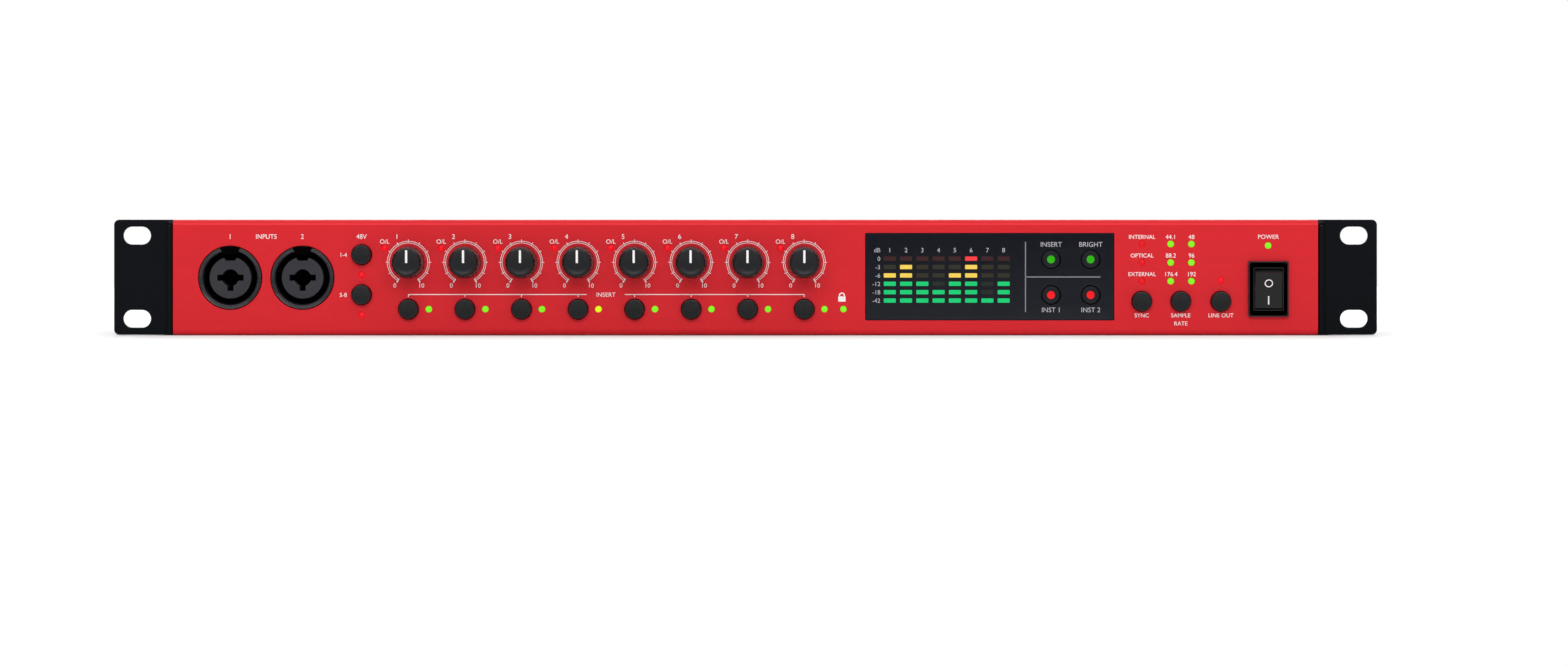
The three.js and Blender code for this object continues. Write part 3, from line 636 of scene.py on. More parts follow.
def make_case_screws():
    """The screws on the ear legs and on the sides of the cover."""
    low, high = extent("top_cover")
    leg = extent("rack_ear_right")
    spots = []
    for way in (-1, 1):
        out = Vector((way, 0, 0))
        for z in (11.0, 33.0):
            origin = Vector((way * (LEG_FACE - 0.05), leg[0].y + 30.0, z))
            spots.append((origin, out, 2.9, 0.35))
        for y in (low.y + 120.0, high.y - 25.0):
            spots.append((Vector((way * (high.x - 0.05), y, 6.0)), out, 2.7, 0.5))
    screws("case_screws", spots)


# Front controls

KNOB_FLUTES = 18
KNOB_POINTS = KNOB_FLUTES * 8
KNOB_SHAFT = 3.0
CORE_POINTS = 144


def fluted(x, z, radius, groove):
    """A knob's outline: round, with shallow grooves."""

    def reach(turn):
        ridge = abs(math.sin(KNOB_FLUTES * turn / 2))
        return radius - groove * (1 - ridge) ** 1.6

    return polar(x, z, KNOB_POINTS, reach)


def make_knob(i):
    """A gain knob with a dished top, standing just off the panel on its shaft."""
    x, z = KNOBS[i]
    node = f"gain_knob_{i}"
    body = f"{node}_body"
    tip = extent(node)[0].y - FRONT.y
    base = -0.6
    stations = [
        (5.9, 0.0, base), (6.2, 0.0, base - 0.25), (6.2, 0.1, base - 1.2),
        (6.05, 0.26, base - 2.0), (5.75, 0.26, tip + 1.6), (5.6, 0.22, tip + 1.1),
        (5.3, 0.1, tip + 0.55), (5.0, 0.0, tip + 0.2), (4.75, 0.0, tip + 0.03),
        (4.5, 0.0, tip), (4.2, 0.0, tip + 0.12), (2.0, 0.0, tip + 0.2),
    ]
    shaft = circle(x, z, KNOB_SHAFT, KNOB_POINTS)
    rings = [(shaft, 3.0), (shaft, base)]
    rings += [(fluted(x, z, radius, groove), depth) for radius, groove, depth in stations]
    rings.append(([(x, z)], tip + 0.2))
    bm = bmesh.new()
    loft(bm, FRONT, rings)
    knob = finish_mesh(f"knob_cap_{i}", bm, KNOB_BLACK, body, sharp=50.0)
    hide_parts(node)
    pointer = box_wall(x - 0.42, x + 0.42, z - 0.2, z + 4.7, 0.2, (tip, tip + 0.25), 0.05)
    mark = panel(f"knob_pointer_{i}", FRONT, pointer, (), PRINT, body)


def make_button(node, x, z, radius=CAP, material=CAP_BLACK):
    """A push button: a dished cap, and a collar behind the panel that keeps it in."""
    face = extent(node)[0].y - FRONT.y
    back = extent(node)[1].y - FRONT.y
    collar = radius + 0.9
    profile = [
        (0, face + 0.18), (radius * 0.55, face + 0.12), (radius - 0.55, face),
        (radius - 0.1, face + 0.12), (radius, face + 0.6), (radius, 5.3), (collar, 5.3),
        (collar, 6.3), (1.8, 6.3), (1.8, back), (0, back),
    ]
    cap = turned(f"{node}_cap", FRONT, x, z, profile, material, f"{node}_body", 48, 0.25)
    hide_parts(node)


def make_buttons():
    for i, (x, z) in BUTTONS.items():
        make_button(f"channel_button_{i}", x, z)
    for name, (x, z) in PHANTOM.items():
        make_button(f"phantom_button_{name}", x, z)
    for name, (x, z) in CLOCK.items():
        make_button(f"{name}_button", x, z)
    for i, (x, z) in MODES.items():
        node = f"mode_button_{i}"
        make_button(node, x, z, 3.6, MODE_CAP)
        face = extent(node)[0].y - FRONT.y
        colour = MODE_GREEN if i <= 2 else MODE_RED
        dot = [(0, face - 0.05), (1.3, face - 0.02), (1.55, face + 0.15), (1.55, face + 0.6)]
        lens = turned(f"mode_lamp_{i}", FRONT, x, z, dot, colour, f"{node}_body", 32, 0.1)


def make_lamps():
    groups = {}
    for x, z, material in front_lamps():
        groups.setdefault(material.name, (material, []))[1].append((x, z))
    lens = [(0, -0.28), (0.5, -0.22), (0.95, -0.04), (LENS, 0.2), (LENS, 4.0), (0, 4.0)]
    for name, (material, spots) in groups.items():
        bm = bmesh.new()
        for x, z in spots:
            add_turned(bm, FRONT, x, z, lens, 24)
        lenses = finish_mesh(f"indicators_{name}", bm, material, sharp=50.0)


def jack_star(x, z, grow):
    """The plug's way into a combination jack: a round hole with an arm for each pin."""

    def reach(turn):
        best = 3.2
        for arm in (0, 180, 270):
            off = turn - math.radians(arm)
            if math.cos(off) > 0:
                aside = 1.15 / max(abs(math.sin(off)), COINCIDENT)
                best = max(best, min(5.0 / math.cos(off), aside))
        return best + grow

    return polar(x, z, CORE_POINTS, reach)


def core_outline(x, z, grow):
    """The core's edge: round, with a square key notch at the top."""

    def reach(turn):
        off = turn - math.pi / 2
        notch = abs(8.0 * math.sin(off)) < 2.2 and math.cos(off) > 0
        return (6.6 / math.cos(off) if notch else 8.0) + grow

    return polar(x, z, CORE_POINTS, reach)


def make_combo(i, side, panel_depth):
    """A combination jack: moulded ring, core with the plug's way in, the locking tab's recess as
    a wedge of painted shade, and a disc of painted shade closing the hole.
    """
    x, z = side.across(f"combo_jack_{i}")
    seat = panel_depth + 0.3
    ring = [
        (9.9, 13.0), (10.1, 0.9), (10.35, 0.15), (10.8, -0.35), (11.1, -0.15), (11.3, -0.35),
        (11.75, -0.55), (COMBO_RADIUS, -0.2), (COMBO_RADIUS, seat),
    ]
    shell = turned(f"combo_ring_{i}", side, x, z, ring, SOCKET_BLACK, count=96, soft=0.15)
    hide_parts(f"combo_jack_{i}")
    outer = wall(lambda grow: core_outline(x, z, grow), (1.0, 12.0), 0.25)
    hole = wall(lambda grow: jack_star(x, z, grow), (1.0, 11.5), 0.2, inward=-1.0)
    core = panel(f"combo_core_{i}", side, outer, [hole], CORE_GREY)
    # A disc in painted shade black closing the back of the hole, for the shade deep in it.
    back = [(0, 13.5), (10.2, 13.5), (10.2, 13.0), (0, 13.0)]
    plug = turned(f"combo_back_shade_{i}", side, x, z, back, SHADE_BLACK, soft=0)
    # The locking tab's recess at the top of the ring: a wedge in painted shade black, for the
    # shade in that recess.
    half_key = [(2.3, 9.0), (3.9, 11.3), (2.4, 11.75)]
    key = [*half_key, (0, 11.9), *((-kx, kz) for kx, kz in reversed(half_key))]

    def key_outline(grow):
        return [(x + kx * (1 + grow / 6), z + kz + grow * 0.2) for kx, kz in key]

    latch_wall = wall(key_outline, (-0.75, 1.5), 0.15)
    latch = panel(f"combo_latch_shade_{i}", side, latch_wall, (), SHADE_BLACK)
    housing = [(12.4, seat), (12.4, 24.0), (0, 24.0)]
    body = turned(f"combo_body_{i}", side, x, z, housing, SOCKET_BLACK)


METER_X = 55.1
METER_PITCH = 6.21
METER_TOP = 29.1
METER_STEP = 3.2
METER_LEVELS = (4, 5, 3, 2, 4, 6, 1, 3)
METER_ROWS = ("red", "yellow", "yellow", "green", "green", "green")
METER_SCALE = ("0", "-3", "-6", "-12", "-18", "-42")


def make_meter():
    """The smoked window with the bar graph on it, and wells in painted shade black behind the
    mode buttons.
    """
    low, high = extent("meter_window")
    face = low.y - FRONT.y
    depths = (face, high.y - FRONT.y)
    outer = box_wall(low.x, high.x, low.z, high.z, 0.5, depths)
    holes = [round_hole(x, z, 3.8, depths) for x, z in MODES.values()]
    glass = panel("meter_glass", FRONT, outer, holes, WINDOW)
    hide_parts("meter_window")
    # Sleeves in painted shade black, standing for the shade in the wells round the mode buttons.
    backs = bmesh.new()
    for x, z in MODES.values():
        sleeve = [(5.6, 5.2), (4.0, 5.2), (4.0, 3.2), (5.6, 3.2), (5.6, 5.2)]
        add_turned(backs, FRONT, x, z, sleeve, 32)
    wells = finish_mesh("mode_well_shades", backs, SHADE_BLACK)
    tiles = {state: bmesh.new() for state in BARS}
    for column, level in enumerate(METER_LEVELS):
        x = METER_X + METER_PITCH * column
        for row, colour in enumerate(METER_ROWS):
            z = METER_TOP - METER_STEP * row
            lit = row >= len(METER_ROWS) - level
            tile = box_wall(*around(x, z, 2.3, 0.82), 0.25, (face - 0.05, face + 0.1), 0.05)
            add_panel(tiles[colour, lit], FRONT, tile)
    for (name, lit), bm in tiles.items():
        bars = finish_mesh(f"meter_{'lit' if lit else 'unlit'}_{name}", bm, BARS[name, lit])
    return face


def make_power_switch():
    """The switch's bezel and well, and its rocker with the on and off marks."""
    x, z = POWER
    low, high = extent("power_switch_housing")
    depths = (low.y - FRONT.y, -0.05)
    half_x, half_z = (high.x - low.x) / 2, (high.z - low.z) / 2
    outer = box_wall(*around(x, z, half_x, half_z), 0.9, depths, 0.5)
    well = square_hole(*around(x, z, 5.45, 7.9), 0.3, depths, 0.35)
    bezel = panel("switch_bezel", FRONT, outer, [well], SWITCH_BLACK)
    for node in ("power_switch_housing", "power_rocker"):
        recolour(node, SWITCH_BLACK)
    soften_node(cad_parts["power_rocker"], 0.3)
    off_mark = Legend(Slope(FRONT, x, z + 2.2, -2.65, 21.0))
    off_mark.arc(0, 0, 1.4, 0, 360, 0.4, 40)
    off_mark.done("rocker_mark_off", PRINT, "power_rocker_body")
    on_mark = Legend(Slope(FRONT, x, z - 4.3, -1.74, -1.0))
    on_mark.strip([(0, -1.6), (0, 1.6)], 0.45)
    on_mark.done("rocker_mark_on", PRINT, "power_rocker_body")


def recolour(node, material):
    """Gives its material to a CAD node that is shown as it is."""
    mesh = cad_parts[node].data
    mesh.materials.clear()
    mesh.materials.append(material)


def soften_node(node, width):
    """Rounds a CAD node's edges with a modifier; its own mesh is left as it is."""
    bevel = node.modifiers.new("edge", "BEVEL")
    bevel.width = width * MM
    bevel.segments = 3
    bevel.limit_method = "ANGLE"
    bevel.angle_limit = math.radians(35)
    bevel.harden_normals = False


# Printing


INK = 0.012
INK_LIFT = 0.02
CAP_SHARE = 0.73
TITLE_Z = 37.6
FOOT_Z = 3.7


class Legend:
    """Printing on one panel, gathered into one thin mesh."""

    def __init__(self, side=FRONT):
        self.side = side
        self.bm = bmesh.new()

    def text(self, words, x, z, cap=1.8, align="CENTER"):
        """Words centred on z, with capitals of that height."""
        letters = bpy.data.curves.new("label", "FONT")
        letters.body = words
        letters.size = cap / CAP_SHARE
        letters.align_x = align
        letters.extrude = INK
        letters.resolution_u = 6
        label = bpy.data.objects.new("label", letters)
        bpy.context.scene.collection.objects.link(label)
        bpy.context.view_layer.update()
        graph = bpy.context.evaluated_depsgraph_get()
        mesh = bpy.data.meshes.new_from_object(label.evaluated_get(graph))
        for vert in mesh.vertices:
            tx, ty, depth = vert.co
            vert.co = self.side.point(x + tx, z - cap / 2 + ty, -INK_LIFT - depth)
        self.bm.from_mesh(mesh)
        bpy.data.meshes.remove(mesh)
        bpy.data.objects.remove(label)
        bpy.data.curves.remove(letters)

    def strip(self, points, width, closed=False):
        """A printed line of that width through the points."""
        rings = []
        last = len(points) - 1
        for i, (x, z) in enumerate(points):
            before = points[i - 1] if i or closed else points[0]
            after = points[(i + 1) % len(points)] if i < last or closed else points[-1]
            along = Vector((after[0] - before[0], after[1] - before[1])).normalized()
            aside = Vector((-along.y, along.x)) * width / 2
            section = ((1, INK), (-1, INK), (-1, -INK), (1, -INK))
            rings.append([
                self.bm.verts.new(
                    self.side.point(x + way * aside.x, z + way * aside.y, -INK_LIFT - out)
                ) for way, out in section
            ])
        bridge(self.bm, rings + rings[:1] if closed else rings)
        if not closed:
            for end in (rings[0], rings[-1]):
                self.bm.faces.new(end)

    def arc(self, x, z, radius, start, end, width, steps=48):
        """A printed arc, in degrees clockwise from straight up."""
        turns = [math.radians(start + (end - start) * i / steps) for i in range(steps + 1)]
        whole = abs(end - start) >= 360
        spots = [(x + radius * math.sin(a), z + radius * math.cos(a)) for a in turns]
        self.strip(spots[:-1] if whole else spots, width, whole)

    def done(self, name, material, body=CASE):
        piece = finish_mesh(name, self.bm, material, body)


def knob_scale(legend, x, z):
    """The dial round a gain knob: two fine circles broken at the bottom, and eleven ticks."""
    for radius in (7.4, 8.05):
        legend.arc(x, z, radius, -150, 150, 0.2)
    for step in range(11):
        turn = math.radians(-150 + 30 * step)
        end = step in (0, 10)
        spots = [
            (x + r * math.sin(turn), z + r * math.cos(turn))
            for r in ((7.2, 8.9) if end else (7.35, 8.7))
        ]
        legend.strip(spots, 0.5 if end else 0.24)
    legend.text("0", x - 5.2, z - 8.8, 1.7)
    legend.text("10", x + 4.9, z - 8.8, 1.7)


def print_front():
    legend = Legend()
    for i, (x, z) in KNOBS.items():
        knob_scale(legend, x, z)
        legend.text(str(i), x - 4.4, z + 9.9, 1.9)
        legend.text("O/L", x + CLIP_AT[0], z + 8.0, 1.7)
    first, second = (FRONT.across(f"combo_jack_{i}")[0] for i in (1, 2))
    legend.text("1", first, TITLE_Z, 1.9)
    legend.text("2", second, TITLE_Z, 1.9)
    legend.text("INPUTS", (first + second) / 2, TITLE_Z)
    legend.text("48V", PHANTOM["upper"][0], TITLE_Z)
    for name, words in (("upper", "1-4"), ("lower", "5-8")):
        x, z = PHANTOM[name]
        legend.text(words, x - 7.0, z, 1.6)
    line_z = 15.4
    left, right = BUTTONS[1][0], BUTTONS[8][0]
    gap = (BUTTONS[4][0] + 3.3, BUTTONS[5][0] - 3.7)
    legend.strip([(left, line_z), (gap[0], line_z)], 0.3)
    legend.strip([(gap[1], line_z), (right, line_z)], 0.3)
    for x, _ in BUTTONS.values():
        legend.strip([(x, line_z), (x, line_z - 0.9)], 0.3)
    legend.text("INSERT", (gap[0] + gap[1]) / 2, line_z, 1.7)
    padlock(legend, LOCK_X - 0.6, 14.5)
    sources = ("INTERNAL", "OPTICAL", "EXTERNAL")
    rates = (("44.1", "88.2", "176.4"), ("48", "96", "192"))
    for x, words, cap in zip(CLOCK_LAMP_X, (sources, *rates), (1.6, 1.7, 1.7)):
        for z, word in zip(CLOCK_LAMP_Z, words):
            legend.text(word, x, z + 2.75, cap)
    below = CLOCK["sync"][1] - 5.3
    titles = (("SYNC", "sync", 0.0), ("SAMPLE", "sample_rate", 0.0), ("RATE", "sample_rate", 3.1))
    for words, name, drop in (*titles, ("LINE OUT", "line", 0.0)):
        legend.text(words, CLOCK[name][0], below - drop, 1.6)
    legend.text("POWER", POWER[0], 37.5, 1.7)
    legend.done("front_printing", PRINT)


def padlock(legend, x, z):
    """A small padlock outline: a filled body and an arched shackle."""
    legend.strip([(x - 1.4, z - 0.8), (x + 1.4, z - 0.8)], 2.0)
    legend.arc(x, z + 0.5, 0.95, -90, 90, 0.45, 12)
    for dx in (-0.95, 0.95):
        legend.strip([(x + dx, z + 0.5), (x + dx, z + 0.1)], 0.45)


def print_window(face):
    legend = Legend(Side(FRONT.y + face, 1))
    for column in range(8):
        legend.text(str(column + 1), METER_X + METER_PITCH * column, 32.4)
    for row, word in enumerate(METER_SCALE):
        legend.text(word, 51.5, METER_TOP - METER_STEP * row, 1.7, "RIGHT")
    legend.text("dB", 51.5, 32.4, 1.7, "RIGHT")
    top = MODES[1][1] + 5.8
    bottom = MODES[3][1] - 5.6
    names = (("INSERT", top), ("BRIGHT", top), ("INST 1", bottom), ("INST 2", bottom))
    for (x, _), (words, z) in zip(MODES.values(), names):
        legend.text(words, x, z, 1.9)
    legend.done("window_printing", GREY_PRINT)
    lines = Legend(Side(FRONT.y + face, 1))
    lines.strip([(106.9, 8.7), (106.9, 35.5)], 0.4)
    lines.strip([(106.9, 22.1), (135.5, 22.1)], 0.4)
    lines.done("window_dividers", RULE_PRINT)


# Rear

JACKS = {i: REAR.across(f"insert_jack_{i}") for i in range(3, 9)}
PAIR_X = REAR.across("insert_jack_pair")[0]
JACKS[1] = (PAIR_X, 32.7)
JACKS[2] = (PAIR_X, 12.8)
REAR_COMBOS = {i: (REAR.across(f"combo_jack_{i}")[0], 22.2) for i in range(3, 9)}
OPTICALS = {side: REAR.across(f"optical_shutter_{side}_output")[0] for side in ("a", "b")}
OPTICAL_Z = {"output": 26.2, "input": 13.3}
OPTICAL_CUT = (5.1, 4.55)
THREADS = 4
BNC_X = REAR.across("bnc_pair")[0]
BNC_Z = (28.8, 13.5)
MULTIWAY = (REAR.across("multiway_connector")[0], 13.3)
BACKWARD = Vector((0, 1, 0))
INLET = REAR.across("mains_inlet")


def trapezoid(x, z, top, bottom, height, radius, grow):
    """A plug outline wider at the top, with round corners."""
    half, top, bottom = height / 2 + grow, top / 2 + grow, bottom / 2 + grow
    spots = ((-bottom, -half), (bottom, -half), (top, half), (-top, half))
    corners = [Vector(spot) for spot in spots]
    points = []
    for k, corner in enumerate(corners):
        before = (corners[k - 1] - corner).normalized() * radius
        after = (corners[(k + 1) % 4] - corner).normalized() * radius
        bend = curve(corner + before, corner, corner + after, 5)
        points += [(x + px, z + pz) for px, pz in bend]
    return points


def make_rear_panel():
    """The folded tray: rear panel with its cut-outs, floor, front lip and side flanges."""
    low, high = extent("chassis")
    depths = (0.0, SHEET)
    holes = [round_hole(x, z, 12.25, depths, 0.12, 96) for x, z in REAR_COMBOS.values()]
    holes += [round_hole(x, z, 5.7, depths, 0.1) for x, z in JACKS.values()]
    holes += [round_hole(BNC_X, z, 6.85, depths, 0.1) for z in BNC_Z]
    for x in OPTICALS.values():
        for z in OPTICAL_Z.values():
            holes.append(square_hole(*around(x, z, *OPTICAL_CUT), 0.3, depths, 0.1))
    holes.append(square_hole(*around(*INLET, 10.5, 14.2), 0.5, depths, 0.1))
    plug = (*MULTIWAY, 43.1, 39.7, 12.3, 1.5)
    holes.append(wall(lambda grow: trapezoid(*plug, grow), depths, 0.1, inward=-1.0))
    w, top, y0, y1 = high.x, high.z, low.y, high.y
    outline = [(-w, SHEET), (w, SHEET), (w, top), (-w, top)]
    bm = bmesh.new()
    add_panel(bm, REAR, [(outline, 0.0), (outline, SHEET)], holes)
    section = arc(y1 - SHEET, SHEET, SHEET, -90, 90, 6)
    section += [(y1 - SHEET, SHEET), (y0 + SHEET, SHEET), (y0 + SHEET, 4.6), (y0, 4.6)]
    section += arc(y0 + SHEET, SHEET, SHEET, 180, 90, 6)
    add_panel(bm, Flank(0.0), [(section, w), (section, -w)])
    for way in (-1, 1):
        flange = box_wall(y0 + 2, y1 - 1.6, 1.4, 10.0, 0.3, depths, 0.1)
        add_panel(bm, Flank(w, way), flange)
    tray = finish_mesh("tray_sheet", bm, SHEET_GREY)
    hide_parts("chassis")


def hexagon(bm, side, x, z, flat, depths, bore, chamfer=0.6):
    """Adds a hexagon nut with rounded points on its outer face."""
    front, back = depths
    corner = flat / 2 / math.cos(math.pi / 6)

    def outline(cut):
        def reach(turn):
            wedge = (turn + math.pi / 6) % (math.pi / 3) - math.pi / 6
            return min(flat / 2 / math.cos(wedge), corner - cut * chamfer)

        return polar(x, z, 72, reach)

    stages = ((1.6, 0.0), (0.48, 0.35), (0.0, 1.0))
    outer = [(outline(cut), front + chamfer * along) for cut, along in stages]
    outer.append((outline(0.0), back))
    add_panel(bm, side, outer, [round_hole(x, z, bore, depths)])


def make_jack(i):
    """A quarter-inch jack: threaded bush, hexagon nut, washer, bored body and tip spring."""
    x, z = JACKS[i]
    bush = [(3.15, 12.0), (3.15, -4.6), (3.7, -5.0), (4.9, -5.0)]
    for k in range(THREADS):
        thread = -4.7 + 0.4 * k
        bush += [(5.4, thread), (5.12, thread + 0.2)]
    bush += [(5.4, -2.9), (5.4, 1.8)]
    barrel = turned(f"jack_bush_{i}", REAR, x, z, bush, BUSH_GREY, soft=0.08)
    bm = bmesh.new()
    hexagon(bm, REAR, x, z, 14.6, (-3.0, -0.8), 5.45)
    nut = finish_mesh(f"jack_nut_{i}", bm, NUT_GREY)
    ring = [(5.6, -0.8), (8.5, -0.8), (8.75, -0.55), (8.75, -0.02), (5.6, -0.02), (5.6, -0.8)]
    washer = turned(f"jack_washer_{i}", REAR, x, z, ring, NUT_GREY, soft=0.08)
    # A lining of painted shade black in the bore, standing for the shade deep in the hole.
    bore_shade_profile = [(0, 11.0), (3.02, 11.0), (3.02, -4.2), (3.14, -4.3), (3.14, 12.5), (0, 12.5)]
    well = turned(f"jack_bore_shade_{i}", REAR, x, z, bore_shade_profile, SHADE_BLACK, soft=0)
    depths = (1.8, 30.0)
    body = box_wall(*around(x, z, 7.8, 7.8), 1.0, depths, 0.4)
    bore = round_hole(x, z, 3.4, depths)
    block = panel(f"jack_body_{i}", REAR, body, [bore], SOCKET_BLACK)
    bow = [(3.0, 3.0), (2.6, 3.6), (3.0, 4.4)]
    spring = turned(f"jack_tip_spring_{i}", REAR, x, z, bow, NICKEL, soft=0)
    if i > 2:
        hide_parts(f"insert_jack_{i}")
    elif i == 1:
        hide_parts("insert_jack_pair")


def make_inlet():
    """The mains inlet: flange, sleeve with two cut corners, a floor in painted shade black, and
    three blades.
    """
    x, z = INLET
    low, high = extent("mains_inlet")
    face = REAR.y - high.y
    cx = x - 1.0

    def cavity(grow):
        w, h = 8.3 + grow, 12.35 + grow
        cut_x, cut_z = w - 4.9, h - 4.3
        points = rounded(*around(cx, z, w, h), 1.4 + max(grow, 0))
        right = [point for point in points if point[0] > cx]
        left = [(-cut_x, h), (-w, cut_z), (-w, -cut_z), (-cut_x, -h)]
        return right + [(cx + px, z + pz) for px, pz in left]

    depths = (face, 1.0)
    bore = (face - 0.5, 14.0)
    half_x, half_z = (high.x - low.x) / 2, (high.z - low.z) / 2
    outer = box_wall(*around(x, z, half_x, half_z), 3.5, depths, 0.6)
    rim_hole = wall(lambda grow: cavity(1.2 + grow), depths, 0.05, inward=-1.0)
    flange = panel("inlet_flange", REAR, outer, [rim_hole], INLET_GREY)
    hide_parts("mains_inlet")
    rim = wall(lambda grow: cavity(1.25 + grow), bore, 0.3)
    hole = wall(cavity, bore, 0.3, inward=-1.0)
    sleeve = panel("inlet_sleeve", REAR, rim, [hole], INLET_GREY)
    # The cavity floor is in painted shade black, for the shade deep inside the inlet.
    floor_plate = wall(lambda grow: cavity(1.0 + grow), (13.5, 20.0), 0.1)
    base = panel("inlet_floor_shade", REAR, floor_plate, (), SHADE_BLACK)
    bm = bmesh.new()
    for dx, dz in ((-3.4, 0.0), (1.7, 6.8), (1.7, -7.2)):
        blade = box_wall(*around(x + dx, z + dz, 2.0, 1.0), 0.4, (2.0, 14.0), 0.8)
        add_panel(bm, REAR, blade)
    pins = finish_mesh("inlet_pins", bm, NICKEL)


def cut_edge(bm, x, z):
    """Adds the bright bare edge of one optical cut-out."""
    half_x, half_z = OPTICAL_CUT
    depths = (-0.03, 1.4)
    outer = box_wall(*around(x, z, half_x, half_z), 0.3, depths, 0.02)
    inner = square_hole(*around(x, z, half_x - 0.22, half_z - 0.22), 0.2, depths, 0.02)
    add_panel(bm, REAR, outer, [inner])


def make_shutter(side, row, x):
    """A sprung optical shutter: round-cornered door with a raised frame on its face."""
    node = f"optical_shutter_{side}_{row}"
    body = f"{node}_body"
    colour = ORANGE if row == "output" else SOCKET_BLACK
    low, high = extent(node)
    depth = REAR.y - high.y

    def door(grow):
        w, r = 3.1 + grow, 1.6
        left = arc(x - w + r, low.z + r, r, 180, 90, 6)
        right = arc(x + w - r, low.z + r, r, 270, 90, 6)
        return [(x + w, high.z), (x - w, high.z), *left, *right]

    plate = panel(f"{node}_door", REAR, wall(door, (depth, depth + 0.9), 0.2), (), colour, body)
    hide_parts(node)
    mid = (low.z + high.z) / 2
    depths = (depth - 0.22, depth + 0.1)
    rim = box_wall(x - 1.9, x + 1.9, mid - 2.1, mid + 1.9, 0.3, depths, 0.1)
    inside = square_hole(x - 1.3, x + 1.3, mid - 1.5, mid + 1.3, 0.2, depths, 0.08)
    crest = panel(f"{node}_frame", REAR, rim, [inside], colour, body)


def make_optical(side, x):
    """An optical module: output socket over input socket, shutters, cut edges and screw."""
    front = REAR.y - extent(f"optical_module_{side}")[1].y
    edges = bmesh.new()
    for row, z in OPTICAL_Z.items():
        cut_edge(edges, x, z)
        outer = box_wall(*around(x, z, 6.6, 6.35), 0.4, (front, front + 15.0))
        hole = square_hole(*around(x, z, 3.3, 3.7), 0.25, (front, front + 12.0), 0.25)
        name = f"optical_body_{side}_{row}"
        panel(name, REAR, outer, [hole], SOCKET_BLACK)
        make_shutter(side, row, x)
    rim = finish_mesh(f"optical_cut_edges_{side}", edges, BARE_EDGE)
    spot = Vector((-(x - 7.7), REAR.y, 20.2))
    screws(f"optical_screw_{side}", [(spot, BACKWARD, 2.25, 0.9)])
    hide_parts(f"optical_module_{side}")


def make_bnc():
    """Two bayonet coaxial sockets with their lugs, dielectrics, contacts and screws."""
    metal, white, gold, floors = (bmesh.new() for _ in range(4))
    shell = [
        (4.05, 1.0), (4.05, -9.7), (4.3, -10.0), (4.6, -10.0), (4.8, -9.75), (4.8, -2.6),
        (4.45, -2.5), (4.45, -1.9), (5.2, -1.8), (6.3, -1.6), (6.55, -1.3), (6.55, 1.2),
        (4.05, 1.2),
    ]
    insulation = [(0.6, -7.4), (2.4, -7.4), (2.4, 1.0), (0.6, 1.0)]
    contact = [(0.28, 0), (0.28, -7.6), (0.55, -7.6), (0.55, 1.0)]
    lug = [(0.0, 5.5), (0.76, 5.5), (0.95, 5.35), (0.95, 4.5)]
    floor_disc = [(0, -3.0), (4.1, -3.0), (4.1, 1.4), (0, 1.4)]
    for z in BNC_Z:
        add_turned(metal, REAR, BNC_X, z, soften(shell, 0.12), 64)
        add_turned(white, REAR, BNC_X, z, soften(insulation, 0.1), 32)
        add_turned(gold, REAR, BNC_X, z, soften(contact, 0.05), 24)
        add_turned(floors, REAR, BNC_X, z, floor_disc, 32)
        for way in (-1, 1):
            out = [(radius, -way * reach) for radius, reach in lug]
            add_turned(metal, Flank(BNC_X, -1), REAR.y + 7.2, z, out, 20)
    shells = finish_mesh("bnc_shells", metal, NICKEL)
    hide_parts("bnc_pair")
    finish_mesh("bnc_dielectric", white, DIELECTRIC)
    finish_mesh("bnc_contacts", gold, GOLD)
    finish_mesh("bnc_backs", floors, BARE_EDGE)
    spots = [(Vector((-(BNC_X + dx), REAR.y, 21.3)), BACKWARD, 1.8, 0.7) for dx in (-5.7, 5.9)]
    screws("bnc_screws", spots)


def make_multiway():
    """The 25-way connector: flange, shell, insulator with its holes, and jackscrews."""
    x, z = MULTIWAY

    def shape(*size):
        return lambda grow: trapezoid(x, z, *size, grow)

    flange = (-0.8, 1.6)
    outer = wall(shape(42.3, 38.9, 11.5, 1.6), flange, 0.35)
    inner = wall(shape(39.7, 37.5, 9.1, 2.2), flange, 0.2, inward=-1.0)
    base = panel("multiway_base", REAR, outer, [inner], NICKEL)
    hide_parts("multiway_connector")
    sleeve = shape(38.4, 36.2, 7.9, 2.0)
    shell_out = wall(sleeve, (-5.8, -0.4), 0.2) + [(sleeve(0.58), -0.3), (sleeve(0.58), 1.0)]
    shell_in = wall(shape(36.8, 34.6, 6.3, 1.6), (-5.8, 1.0), 0.2, inward=-1.0)
    shell = panel("multiway_shell", REAR, shell_out, [shell_in], NICKEL)
    holes = []
    for count, dz in ((13, 1.42), (12, -1.42)):
        for k in range(count):
            px = x + (k - (count - 1) / 2) * 2.77
            holes.append(round_hole(px, z + dz, 0.72, (-5.0, 0.0), 0.12, 20))
    face = wall(shape(36.7, 34.5, 6.2, 1.6), (-5.0, 0.0), 0.15)
    insulator = panel("multiway_insulator", REAR, face, holes, INSULATOR)
    # A plate in painted shade black behind the insulator, standing for the shade down in the pin
    # holes.
    dark = wall(shape(36.4, 34.2, 5.9, 1.5), (-2.0, 0.2), 0.1)
    back = panel("multiway_hole_shade", REAR, dark, (), SHADE_BLACK)
    posts = bmesh.new()
    for way in (-1, 1):
        hexagon(posts, REAR, x + way * 23.52, z, 5.0, (-5.0, 0.0), 1.25, 0.35)
    post = finish_mesh("multiway_jackscrews", posts, NICKEL)


def make_rear_screws():
    spots = []
    for x, z in REAR_COMBOS.values():
        for dx, dz in ((-9.6, 11.8), (9.6, -11.5)):
            spots.append((Vector((-(x + dx), REAR.y, z + dz)), BACKWARD, 2.5, 0.9))
    screws("rear_socket_screws", spots)


